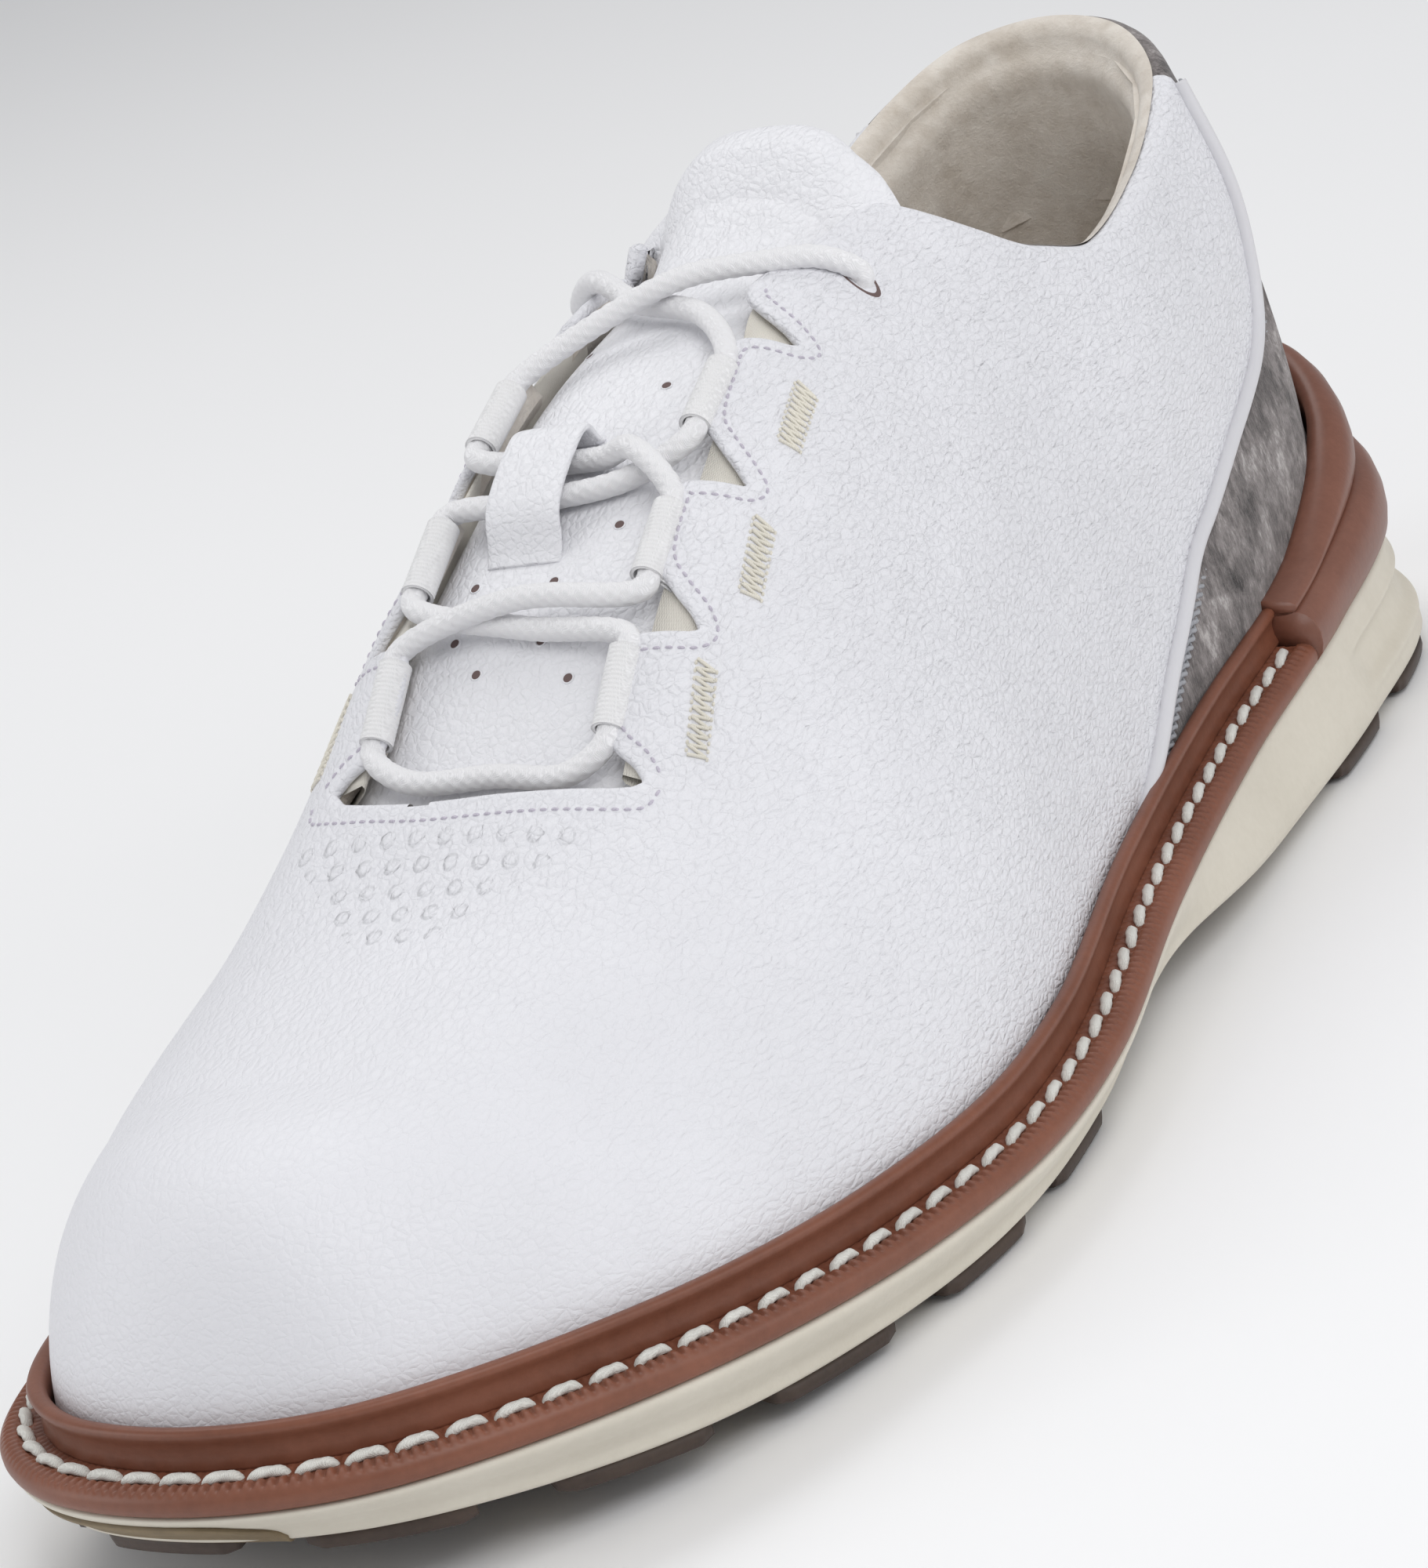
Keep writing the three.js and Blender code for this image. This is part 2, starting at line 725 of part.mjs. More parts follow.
const skin = shell(0, LEATHER).subtract(opening);
add('vamp_toe', skin.intersect(foreUpper), WHITE, 0.5);
add('vamp_flex_zone', skin.intersect(behindSlope).subtract(box(-90, 90, FLEX_Y, 200, 0, 160)), WHITE, 0.5);
add('vamp_and_quarters', skin.intersect(rear).subtract(patchKeepOut).subtract(lacePorts), WHITE, 0.5);
add('heel_patch', skin.intersect(patchRegion), SUEDE, 0.95);

// Piping covers the joint between the quarters and the heel patch.
const PIPING = [
  [0.078, 42.4],
  [0.081, 38.5],
  [0.086, 34],
  [0.094, 26],
  [0.12, 19.5],
  [0.155, 15],
  [0.19, 11.5],
  [0.222, 8.5],
];
for (const side of ['lateral', 'medial']) {
  const line = PIPING.map(([u, angle]) => lastPoint(side === 'lateral' ? u : 1 - u, angle, -1.75));
  add(`piping_${side}`, tube(line, 1.4, 8, 26), 0xcdcecf, 0.6);
}

const padLine = smoothLine(COLLAR_LINE.slice(1), 14).map(([y, z]) => [y, z - 26]);
const padRegion = prism([[41, 80], ...padLine.slice(3), [160, 170], [41, 170]], 'x', -WIDE, WIDE);
const padKeepOut = prism(
  [[41 - GAP, 80], ...padLine.slice(3).map(([y, z]) => [y, z - GAP]), [160.5, 170], [41 - GAP, 170]],
  'x',
  -WIDE,
  WIDE,
);
const pad = shell(STIFFENER_DEPTH, PAD_END).subtract(opening).intersect(padRegion);
add('collar_padding', pad, 0xd9d2c0, 0.95);
const collarLining = shell(COLLAR_LINING_DEPTH, COLLAR_LINING_END).subtract(opening);
add('collar_lining', collarLining.intersect(padRegion), BEIGE, 0.95);
const lining = shell(LINING_DEPTH, LINING_END).subtract(opening);
add('quarter_lining', lining.intersect(rear).subtract(padKeepOut).subtract(lacePorts), BEIGE, 0.95);
add('vamp_lining', lining.intersect(foreUpper), BEIGE, 0.95);

const stiffener = shell(STIFFENER_DEPTH, STIFFENER_END).subtract(opening);
const counter = stiffener.intersect(box(-WIDE, WIDE, 82, 200, 0, 160)).subtract(padKeepOut);
add('heel_counter', counter, 0xcfc4a8, 0.8);
add('toe_puff', stiffener.intersect(box(-WIDE, WIDE, -200, -106, 0, 160)), 0xcfc4a8, 0.8);

// Eyestay reinforcement: a band under each facing edge that holds the lace loops.
const band = throatLine.map(([x, y]) => [x + (x > 0 ? 13 : -13), y]);
const bandRegion = prism(band, 'z', 40, 170).intersect(box(-WIDE, WIDE, -56, 36, 0, 170));
const stays = stiffener.intersect(bandRegion).subtract(lacePorts);
add('eyestay_lateral', stays.intersect(box(0, WIDE, -70, 60, 0, 170)), 0xc9bfa9, 0.9);
add('eyestay_medial', stays.intersect(box(-WIDE, 0, -70, 60, 0, 170)), 0xc9bfa9, 0.9);

// ---------------------------------------------------------------- tongue
const TONGUE_PLAN = [
  [29, -74.5],
  [31, -55],
  [30, -30],
  [26, -8],
  [21, 10],
  [18.4, 20],
  [18.2, 36],
  [15.5, 44],
  [8, 49.5],
  [-4, 51.5],
  [-14, 49],
  [-19, 43],
  [-20.5, 34],
  [-19, 20],
  [-22, 8],
  [-26, -8],
  [-29, -30],
  [-32, -52],
  [-33, -74.5],
];
const laceNotches = box(14.8, 40, 14, 33, 20, 160).add(box(-40, -12.6, 14, 33, 20, 160));
const tonguePlan = prism(smoothLine(TONGUE_PLAN, 30), 'z', 30, 170).subtract(laceNotches);
const tongueCut = (from, to) => lastAt(from).subtract(lastAt(to)).intersect(tonguePlan);
add('tongue', tongueCut(TONGUE_DEPTH, TONGUE_END - 1.1), WHITE, 0.5);
add('tongue_lining', tongueCut(TONGUE_END - 1.1 + GAP, TONGUE_END + GAP), BEIGE, 0.95);


// ---------------------------------------------------------------- lace loops and lace
function facingX(y, lateral) {
  const half = throatLine.filter(([x]) => (lateral ? x > 0 : x < 0));
  for (let i = 0; i < half.length - 1; i += 1) {
    const [x0, y0] = half[i];
    const [x1, y1] = half[i + 1];
    if ((y0 - y) * (y1 - y) <= 0 && y0 !== y1) return x0 + ((x1 - x0) * (y - y0)) / (y1 - y0);
  }
  return lateral ? 20 : -20;
}
const LOOP_LENGTH = 11;
const LOOP_OUTER = 2.75;
const LOOP_INNER = 2.15;
const LOOP_GAP = 1.0;
const TACK_INSET = 8.7;
const loopCentres = {};
for (const side of ['lateral', 'medial']) {
  const lateral = side === 'lateral';
  const out = lateral ? 1 : -1;
  LOOP_STATIONS.forEach((y, k) => {
    const rim = facingX(y, lateral);
    const x = rim - out * (LOOP_OUTER + LOOP_GAP);
    const rise = (lastHeight(x, y + 4, 0) - lastHeight(x, y - 4, 0)) / 8;
    const z = lastHeight(x, y, 0) - 0.6;
    loopCentres[`${side}${k}`] = new THREE.Vector3(x, y, z);
    const turn = new THREE.Matrix4().makeRotationX(Math.atan(rise));
    const place = (g) => {
      g.applyMatrix4(turn);
      g.translate(x, y, z);
      return fromGeometry(g);
    };
    const outer = place(new THREE.CylinderGeometry(LOOP_OUTER, LOOP_OUTER, LOOP_LENGTH, 12));
    const inner = place(new THREE.CylinderGeometry(LOOP_INNER, LOOP_INNER, LOOP_LENGTH + 2, 12));
    add(`lace_loop_${side}_${k + 1}`, outer.subtract(inner), WHITE, 0.75);
    const tackX = rim + out * TACK_INSET;
    const tack = [];
    for (const dy of [-4.4, 0, 4.4]) {
      tack.push(new THREE.Vector3(tackX, y + dy, lastHeight(tackX, y + dy, 0) + (lateral ? 1.4 : 2.1)));
    }
    add(`bar_tack_${side}_${k + 1}`, tube(tack, 0.7, 6, 3), 0xddd6c6, 0.85);
  });
}

// A point on a loop's axis, at a distance along it from the middle.
function onAxis(side, k, along) {
  const c = loopCentres[`${side}${k}`];
  const rise = (lastHeight(c.x, c.y + 4, 0) - lastHeight(c.x, c.y - 4, 0)) / 8;
  const length = Math.hypot(1, rise);
  return new THREE.Vector3(c.x, c.y + along / length, c.z + (along * rise) / length);
}
// A point over the tongue.
const over = (x, y, lift) => new THREE.Vector3(x, y, lastHeight(x, y, TONGUE_DEPTH) + lift);
const at = (x, y, z) => new THREE.Vector3(x, y, z);
const UNDER = LACE_RADIUS + 0.6;
const ABOVE = UNDER + LACE_RADIUS * 2 + 0.7;
const up = (side, k) => [-7.4, -3, 3, 7.4].map((along) => onAxis(side, k, along));
const down = (side, k) => up(side, k).reverse();
const lateralTail = [at(26.5, 84, 35), at(26.5, 66, 34), at(27, 48, 42), at(26, 36, 60), at(20.8, 27, 78), throughEyelet(EYELETS[0], -7.5)];
const medialTail = [at(-23, 84, 35), at(-23, 66, 34), at(-24, 48, 42), at(-22.2, 36, 60), at(-17.6, 27, 78), throughEyelet(EYELETS[1], -7.5)];
const lacePath = [
  ...lateralTail,
  throughEyelet(EYELETS[0], -2),
  throughEyelet(EYELETS[0], 1.8),
  at(18.5, 20.6, 102.3),
  at(12, 16, 104.9),
  over(3, 11, ABOVE),
  over(-8, 5, UNDER + 2),
  ...down('medial', 2),
  over(-7.5, -18, UNDER),
  over(2.5, -18.6, UNDER + 0.3),
  over(8.5, -21, ABOVE),
  ...down('lateral', 1),
  over(-1, -41.5, ABOVE),
  ...down('medial', 0),
  over(-13.5, -59.4, UNDER + 0.6),
  over(0, -59.8, UNDER),
  over(11, -59.6, UNDER + 0.6),
  ...up('lateral', 0),
  over(-1, -41.5, UNDER),
  ...up('medial', 1),
  over(-6.5, -24.4, UNDER + 0.4),
  over(7, -21.4, UNDER),
  ...up('lateral', 2),
  over(6, 8, UNDER + 0.6),
  over(-6, 13, UNDER + 0.6),
  at(-13, 17.5, 103.4),
  at(-17.6, 20.8, 102),
  throughEyelet(EYELETS[1], 1.8),
  throughEyelet(EYELETS[1], -2),
  ...medialTail.reverse(),
];
add('lace', tube(lacePath, LACE_RADIUS, 8, 84), 0xf2f0f2, 0.85);

// Hard tips at the two ends of the lace, inside the shoe.
for (const [name, from, next] of [
  ['aglet_lateral', at(26.5, 84, 35), at(26.5, 66, 34)],
  ['aglet_medial', at(-23, 84, 35), at(-23, 66, 34)],
]) {
  const back = from.clone().sub(next).normalize();
  const start = from.clone().addScaledVector(back, GAP);
  add(name, tube([start, start.clone().addScaledVector(back, 20)], 1.5, 8, 1), 0xe6e4e4, 0.3);
}

// Keeper strip: runs along the tongue and holds the lace down where it crosses.
const KEEPER_LIFT = UNDER + LACE_RADIUS + 1.7;
const keeperLine = [
  [-32, 0.9],
  [-30.3, 1.2],
  [-28, KEEPER_LIFT - 0.6],
  [-26.3, KEEPER_LIFT],
  [-16.2, KEEPER_LIFT],
  [-14.5, KEEPER_LIFT - 0.6],
  [-12.2, 1.2],
  [-10.5, 0.9],
];
const keeperPoints = [];
const keeperTriangles = [];
for (const [y, lift] of keeperLine) {
  for (const [x, more] of [[-10, 0], [-0.5, 0], [-0.5, 1.1], [-10, 1.1]]) keeperPoints.push(over(x, y, lift - 0.55 + more));
}
for (let k = 0; k < keeperLine.length - 1; k += 1) {
  for (let i = 0; i < 4; i += 1) {
    const j = (i + 1) % 4;
    const a = k * 4;
    keeperTriangles.push([a + i, a + j, a + 4 + j], [a + i, a + 4 + j, a + 4 + i]);
  }
}
const keeperEnd = (keeperLine.length - 1) * 4;
keeperTriangles.push([0, 2, 1], [0, 3, 2]);
keeperTriangles.push([keeperEnd, keeperEnd + 1, keeperEnd + 2], [keeperEnd, keeperEnd + 2, keeperEnd + 3]);
add('tongue_keeper', fromTriangles(keeperPoints, keeperTriangles), WHITE, 0.6);

export default shoe;
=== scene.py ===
# Golf shoe, left foot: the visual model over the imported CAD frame.
# Shapes are worked out in millimetres and written to Blender in metres.
import math
import bpy
import numpy as np
from mathutils import Matrix, Vector


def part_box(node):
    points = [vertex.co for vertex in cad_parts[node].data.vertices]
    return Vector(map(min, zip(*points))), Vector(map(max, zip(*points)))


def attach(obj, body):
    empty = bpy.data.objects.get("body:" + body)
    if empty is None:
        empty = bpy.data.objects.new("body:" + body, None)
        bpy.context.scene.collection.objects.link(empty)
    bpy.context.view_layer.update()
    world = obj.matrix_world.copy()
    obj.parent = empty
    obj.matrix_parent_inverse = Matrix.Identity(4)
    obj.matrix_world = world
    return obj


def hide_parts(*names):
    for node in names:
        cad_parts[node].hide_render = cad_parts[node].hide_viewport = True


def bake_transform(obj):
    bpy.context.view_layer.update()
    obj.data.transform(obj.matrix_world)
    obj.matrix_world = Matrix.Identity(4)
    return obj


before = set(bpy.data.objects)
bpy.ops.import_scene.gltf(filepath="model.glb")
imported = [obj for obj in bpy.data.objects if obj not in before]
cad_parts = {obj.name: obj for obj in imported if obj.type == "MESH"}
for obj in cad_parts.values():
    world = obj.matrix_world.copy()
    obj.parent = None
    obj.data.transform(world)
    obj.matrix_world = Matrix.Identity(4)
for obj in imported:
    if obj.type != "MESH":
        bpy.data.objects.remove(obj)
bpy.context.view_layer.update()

REAR, FORE = "rearfoot", "forefoot"
MM = 0.001
CENTRE = np.array([0.9, 0.9, 0.0])     # the CAD origin in the shape's own coordinates

# ------------------------------------------------------------------ camera
AZIMUTH, ELEVATION, ROLL = 32.6, 18.9, -16.9
DISTANCE, FOCAL = 686.4, 6765.0
TARGET = np.array([-0.6, -11.1, 42.8]) - CENTRE


def make_camera():
    az, el, roll = (math.radians(v) for v in (AZIMUTH, ELEVATION, ROLL))
    back = Vector((math.sin(az) * math.cos(el), -math.cos(az) * math.cos(el), math.sin(el)))
    right = (-back).cross(Vector((0, 0, 1))).normalized()
    up = right.cross(-back)
    x_axis = math.cos(roll) * right + math.sin(roll) * up
    y_axis = -math.sin(roll) * right + math.cos(roll) * up
    cam = bpy.data.cameras.new("camera")
    cam.lens = FOCAL * 36.0 / 2000.0
    cam.sensor_width = 36.0
    cam.sensor_fit = "AUTO"
    cam.clip_start = 0.05
    cam.clip_end = 30.0
    obj = bpy.data.objects.new("camera", cam)
    place = Vector(TARGET * MM) + back * (DISTANCE * MM)
    turn = Matrix((x_axis, y_axis, back)).transposed()
    obj.matrix_world = Matrix.Translation(place) @ turn.to_4x4()
    bpy.context.scene.collection.objects.link(obj)
    bpy.context.scene.camera = obj


make_camera()

# ------------------------------------------------------------------ the last and the outline
OUTLINE = [(150, 1.5, 1.5), (143, 24, -21), (125, 38.5, -34), (90, 44, -41), (50, 46, -41),
           (10, 50.5, -41), (-30, 57.5, -47), (-60, 58.5, -54), (-90, 52, -57),
           (-115, 42, -52), (-135, 26.5, -42.5), (-146, 11.5, -28.5), (-150, -8, -8)]
WELT_HEIGHT = [(-150, 17), (-120, 14.5), (-80, 10.6), (-40, 9.3), (0, 11.5), (40, 14),
               (90, 17), (150, 20)]
RIDGE_HEIGHT = [(-108, 50), (-80, 57), (-62, 66), (-35, 85), (0, 101), (30, 107), (50, 121),
                (70, 138), (105, 136)]
HEEL_Y, TOE_Y, TOE_X = 105.0, -108.0, -10.0
INSET, RISE, FLAT, FULL = 7.6, 3.0, 0.6, 1.3
RAND_RISE = 8.9
WELT_END = 0.135


def table(rows, value):
    xs = np.array([r[0] for r in rows], float)
    zs = np.array([r[1] for r in rows], float)
    v = np.clip(np.asarray(value, float), xs[0], xs[-1])
    i = np.clip(np.searchsorted(xs, v, side="right") - 1, 0, len(xs) - 2)
    s = np.diff(zs) / np.diff(xs)
    m = np.zeros(len(xs))
    m[0], m[-1] = s[0], s[-1]
    for k in range(1, len(xs) - 1):
        m[k] = 0 if s[k - 1] * s[k] <= 0 else 2 * s[k - 1] * s[k] / (s[k - 1] + s[k])
    h = xs[i + 1] - xs[i]
    t = (v - xs[i]) / h
    return (zs[i] * (1 + 2 * t) * (1 - t) ** 2 + m[i] * h * t * (1 - t) ** 2
            + zs[i + 1] * t * t * (3 - 2 * t) + m[i + 1] * h * t * t * (t - 1))


def catmull(points, per, closed=True):
    p = np.asarray(points, float)
    if not closed:
        p = np.vstack([2 * p[0] - p[1], p, 2 * p[-1] - p[-2]])
    m = len(p)
    out = []
    for i in (range(m) if closed else range(1, m - 2)):
        p0, p1, p2, p3 = p[(i - 1) % m], p[i], p[(i + 1) % m], p[(i + 2) % m]
        d0, d1, d2 = [max(np.linalg.norm(b - a) ** 0.5, 1e-4)
                      for a, b in ((p0, p1), (p1, p2), (p2, p3))]
        t1 = ((p1 - p0) / d0 - (p2 - p0) / (d0 + d1) + (p2 - p1) / d1) * d1
        t2 = ((p2 - p1) / d1 - (p3 - p1) / (d1 + d2) + (p3 - p2) / d2) * d1
        for k in range(per):
            w = k / per
            out.append(p1 + t1 * w + (-3 * p1 + 3 * p2 - 2 * t1 - t2) * w * w
                       + (2 * p1 - 2 * p2 + t1 + t2) * w ** 3)
    if not closed:
        out.append(p[-2])
    return np.array(out)


def evenly(path, count):
    d = np.r_[0, np.cumsum(np.linalg.norm(np.diff(path, axis=0), axis=1))]
    t = np.linspace(0, d[-1], count)
    return np.stack([np.interp(t, d, path[:, k]) for k in range(path.shape[1])], 1)


_loop = [(a[1], a[0]) for a in OUTLINE] + [(a[2], a[0]) for a in OUTLINE[1:-1]][::-1]
_dense = catmull(_loop, 120)
PLAN = evenly(np.vstack([_dense, _dense[:1]]), 4097)[:-1]
_tan = np.roll(PLAN, -1, 0) - np.roll(PLAN, 1, 0)
_tan = _tan / np.linalg.norm(_tan, axis=1)[:, None]
OUT = np.stack([_tan[:, 1], -_tan[:, 0]], 1)
if ((PLAN - PLAN.mean(0)) * OUT).sum() < 0:
    OUT = -OUT
LENGTH = np.linalg.norm(np.diff(np.vstack([PLAN, PLAN[:1]]), axis=0), axis=1).sum()


def edge(u, inset):
    t = (np.asarray(u, float) % 1.0) * len(PLAN)
    i = t.astype(int) % len(PLAN)
    j = (i + 1) % len(PLAN)
    w = (t - np.floor(t))[..., None]
    p = PLAN[i] * (1 - w) + PLAN[j] * w
    n = OUT[i] * (1 - w) + OUT[j] * w
    n = n / np.linalg.norm(n, axis=-1, keepdims=True)
    return p - n * np.asarray(inset, float)[..., None]


def welt_z(y):
    return table(WELT_HEIGHT, y)


def ridge_z(y):
    return table(RIDGE_HEIGHT, y)


def spine_x(y):
    t = np.clip((HEEL_Y - np.asarray(y, float)) / (HEEL_Y - TOE_Y), 0, 1)
    return TOE_X * t * t * (3 - 2 * t)


def last(u, phi, depth=0.0):
    """Point of the last: fraction round the outline and angle up from the feather line."""
    u, phi, depth = np.broadcast_arrays(np.asarray(u, float), phi, depth)
    foot = edge(u, INSET + depth)
    y = np.clip(foot[..., 1], TOE_Y, HEEL_Y)
    low = welt_z(foot[..., 1]) + RISE
    high = ridge_z(y) - depth
    a = np.radians(np.clip(phi, 0, 90))
    h = 1 - np.cos(a) ** FLAT
    g = np.sin(a) ** FULL
    return np.stack([foot[..., 0] * (1 - h) + spine_x(y) * h, foot[..., 1] * (1 - h) + y * h,
                     low + (high - low) * g], -1)


def last_normal(u, phi, depth=0.0):
    u = np.asarray(u, float)
    phi = np.clip(np.asarray(phi, float), 0.6, 87)
    du = last(u + 4e-4, phi, depth) - last(u - 4e-4, phi, depth)
    dp = last(u, phi + 0.4, depth) - last(u, phi - 0.4, depth)
    n = np.cross(du, dp)
    n = n / np.maximum(np.linalg.norm(n, axis=-1, keepdims=True), 1e-9)
    return n if _turned else -n


_turned = True
_turned = bool(last_normal(0.25, 20.0)[0] > 0)

_side = np.linspace(0.0, 0.5, 3000)
_foot_l = edge(_side, INSET)[:, 1]
_foot_m = edge(1 - _side, INSET)[:, 1]


def ray_at(y, lateral=True):
    """Outline fraction whose foot lies at station y."""
    foot = _foot_l if lateral else _foot_m
    s = np.interp(-np.asarray(y, float), -foot, _side)
    return s if lateral else 1 - s


def angle_at(u, x, y, depth=0.0):
    """Angle at which the section at station y reaches x."""
    foot = edge(u, INSET + depth)
    sx = spine_x(y)
    ratio = np.clip((x - sx) / (foot[..., 0] - sx), 0, 1)
    return np.degrees(np.arccos(ratio ** (1 / FLAT)))


def top_point(x, y, depth=0.0):
    """Point of the last over a point of the plan, between the toe and heel centres."""
    x, y = np.broadcast_arrays(np.asarray(x, float), np.asarray(y, float))
    lateral = x >= spine_x(y)
    u = np.where(lateral, ray_at(y, True), ray_at(y, False))
    foot = edge(u, INSET + depth)
    ratio = np.clip((x - spine_x(y)) / (foot[..., 0] - spine_x(y)), 0, 1)
    phi = np.arccos(ratio ** (1 / FLAT))
    low = welt_z(y) + RISE
    z = low + (ridge_z(y) - depth - low) * np.sin(phi) ** FULL
    return np.stack([x, y, z], -1)


def top_normal(x, y, depth=0.0):
    a = top_point(np.asarray(x) + 0.4, y, depth) - top_point(np.asarray(x) - 0.4, y, depth)
    b = top_point(x, np.asarray(y) + 0.4, depth) - top_point(x, np.asarray(y) - 0.4, depth)
    n = np.cross(a, b)
    return n / np.linalg.norm(n, axis=-1, keepdims=True)


# ------------------------------------------------------------------ mesh helpers
def new_object(name, verts, faces, material, smooth=True):
    mesh = bpy.data.meshes.new(name)
    v = (np.asarray(verts, float) - CENTRE) * MM
    mesh.from_pydata([tuple(p) for p in v], [], [tuple(int(i) for i in f) for f in faces])
    mesh.validate()
    mesh.polygons.foreach_set("use_smooth", [smooth] * len(mesh.polygons))
    obj = bpy.data.objects.new(name, mesh)
    bpy.context.scene.collection.objects.link(obj)
    obj.data.materials.append(material)
    return obj


def grid(rows, cols, close_cols=False, close_rows=False, base=0):
    f = []
    for i in range(rows if close_rows else rows - 1):
        for j in range(cols if close_cols else cols - 1):
            a = base + i * cols + j
            b = base + i * cols + (j + 1) % cols
            c = base + ((i + 1) % rows) * cols + (j + 1) % cols
            d = base + ((i + 1) % rows) * cols + j
            f.append((a, b, c, d))
    return f


def weld(obj, distance=2e-5):
    import bmesh
    bm = bmesh.new()
    bm.from_mesh(obj.data)
    bmesh.ops.remove_doubles(bm, verts=bm.verts, dist=distance)
    bmesh.ops.recalc_face_normals(bm, faces=bm.faces)
    bm.to_mesh(obj.data)
    bm.free()
    obj.data.polygons.foreach_set("use_smooth", [True] * len(obj.data.polygons))
    return obj


def frames(path):
    """Tangents and steady side vectors along a path."""
    t = np.gradient(path, axis=0)
    t = t / np.linalg.norm(t, axis=1)[:, None]
    ref = np.array([0.0, 0.0, 1.0]) if abs(t[0][2]) < 0.9 else np.array([1.0, 0.0, 0.0])
    a = np.cross(t[0], ref)
    a /= np.linalg.norm(a)
    side = [a]
    for k in range(1, len(path)):
        a = side[-1] - t[k] * side[-1].dot(t[k])
        side.append(a / np.linalg.norm(a))
    side = np.array(side)
    return t, side, np.cross(t, side)


def tube(path, radius, sides=16, ripple=None, caps=True, flat=None):
    """Vertices and faces of a tube; ripple(angle, length) scales the radius."""
    t, a, b = frames(path)
    s = np.r_[0, np.cumsum(np.linalg.norm(np.diff(path, axis=0), axis=1))]
    ang = np.linspace(0, 2 * np.pi, sides, endpoint=False)
    r = np.broadcast_to(np.asarray(radius, float), (len(path),))[:, None] * np.ones((1, sides))
    if ripple is not None:
        r = r * ripple(ang[None, :], s[:, None])
    fa, fb = flat if flat else (1.0, 1.0)
    v = (path[:, None] + (r * np.cos(ang))[..., None] * a[:, None] * fa
         + (r * np.sin(ang))[..., None] * b[:, None] * fb)
    f = grid(len(path), sides, close_cols=True)
    v = v.reshape(-1, 3)
    if caps:
        f.append(tuple(range(sides))[::-1])
        f.append(tuple(range(len(v) - sides, len(v))))
    return v, f


def merge(parts):
    verts, faces, base = [], [], 0
    for v, f in parts:
        verts.append(v)
        faces += [tuple(i + base for i in face) for face in f]
        base += len(v)
    return np.vstack(verts), faces


def sweep(u0, u1, count, section, closed=False, caps=True):
    """Section of (inset, z) arrays swept along the outline."""
    us = np.linspace(u0, u1, count, endpoint=not closed)
    inset, z = section(us)
    p = edge(us[:, None] * np.ones_like(inset), inset)
    v = np.concatenate([p, z[..., None]], -1)
    rows, cols = inset.shape
    f = grid(rows, cols, close_cols=True, close_rows=closed)
    if not closed and caps:
        f.append(tuple(range(cols))[::-1])
        f.append(tuple(range((rows - 1) * cols, rows * cols)))
    return v.reshape(-1, 3), f


def stack(rings, caps=(True, True)):
    """Closed rings (inset(u), z(y, u)) lofted and closed across from side to side."""
    n = 720
    us = np.arange(n) / n
    rows = []
    for inset, z in rings:
        ins = inset(us) if callable(inset) else np.full(n, float(inset))
        p = edge(us, ins)
        rows.append(np.concatenate([p, z(p[:, 1], us)[:, None]], 1))
    v = np.vstack(rows)
    f = grid(len(rows), n, close_cols=True)
    for want, base, flip in ((caps[0], 0, True), (caps[1], (len(rows) - 1) * n, False)):
        if not want:
            continue
        for i in range(n // 2):
            a, b = base + i, base + i + 1
            c, d = base + (n - i - 1) % n, base + (n - i) % n
            quad = [k for k in dict.fromkeys((a, b, c, d))]
            if len(quad) > 2:
                f.append(tuple(quad[::-1] if flip else quad))
    return v, f


def sew(points, normals, pitch, length, radius, lift=0.25, sides=8, steps=7, sag=0.9):
    """Separate stitches laid along a line on a surface."""
    d = np.r_[0, np.cumsum(np.linalg.norm(np.diff(points, axis=0), axis=1))]
    count = max(int(d[-1] / pitch), 1)
    parts = []
    for k in range(count):
        mid = (k + 0.5) * d[-1] / count
        s = np.linspace(mid - length / 2, mid + length / 2, steps)
        p = np.stack([np.interp(s, d, points[:, c]) for c in range(3)], 1)
        n = np.stack([np.interp(s, d, normals[:, c]) for c in range(3)], 1)
        w = np.linspace(-1, 1, steps)
        p = p + n * (lift - sag * radius * 2 * np.abs(w[:, None]) ** 3)
        r = radius * (1 - 0.35 * np.abs(w) ** 4)
        parts.append(tube(p, r, sides))
    return merge(parts)


# ------------------------------------------------------------------ materials
def material(name, colour, rough, sheen=0.0, coat=0.0, spec=0.5, subsurface=0.0):
    m = bpy.data.materials.new(name)
    m.use_nodes = True
    m.diffuse_color = (*colour, 1)
    nt = m.node_tree
    b = nt.nodes["Principled BSDF"]
    b.inputs["Base Color"].default_value = (*colour, 1)
    b.inputs["Roughness"].default_value = rough
    b.inputs["Specular IOR Level"].default_value = spec
    b.inputs["Sheen Weight"].default_value = sheen
    b.inputs["Coat Weight"].default_value = coat
    if subsurface:
        b.inputs["Subsurface Weight"].default_value = subsurface
        b.inputs["Subsurface Radius"].default_value = (0.004, 0.003, 0.002)
        b.inputs["Subsurface Scale"].default_value = 0.3
    coord = nt.nodes.new("ShaderNodeTexCoord")
    m["coord"] = coord.name
    return m


def node(m, kind, **inputs):
    n = m.node_tree.nodes.new(kind)
    for key, value in inputs.items():
        key = key.replace("_", " ")
        if key in n.inputs:
            n.inputs[key].default_value = value
    return n


def link(m, a, b):
    m.node_tree.links.new(a, b)


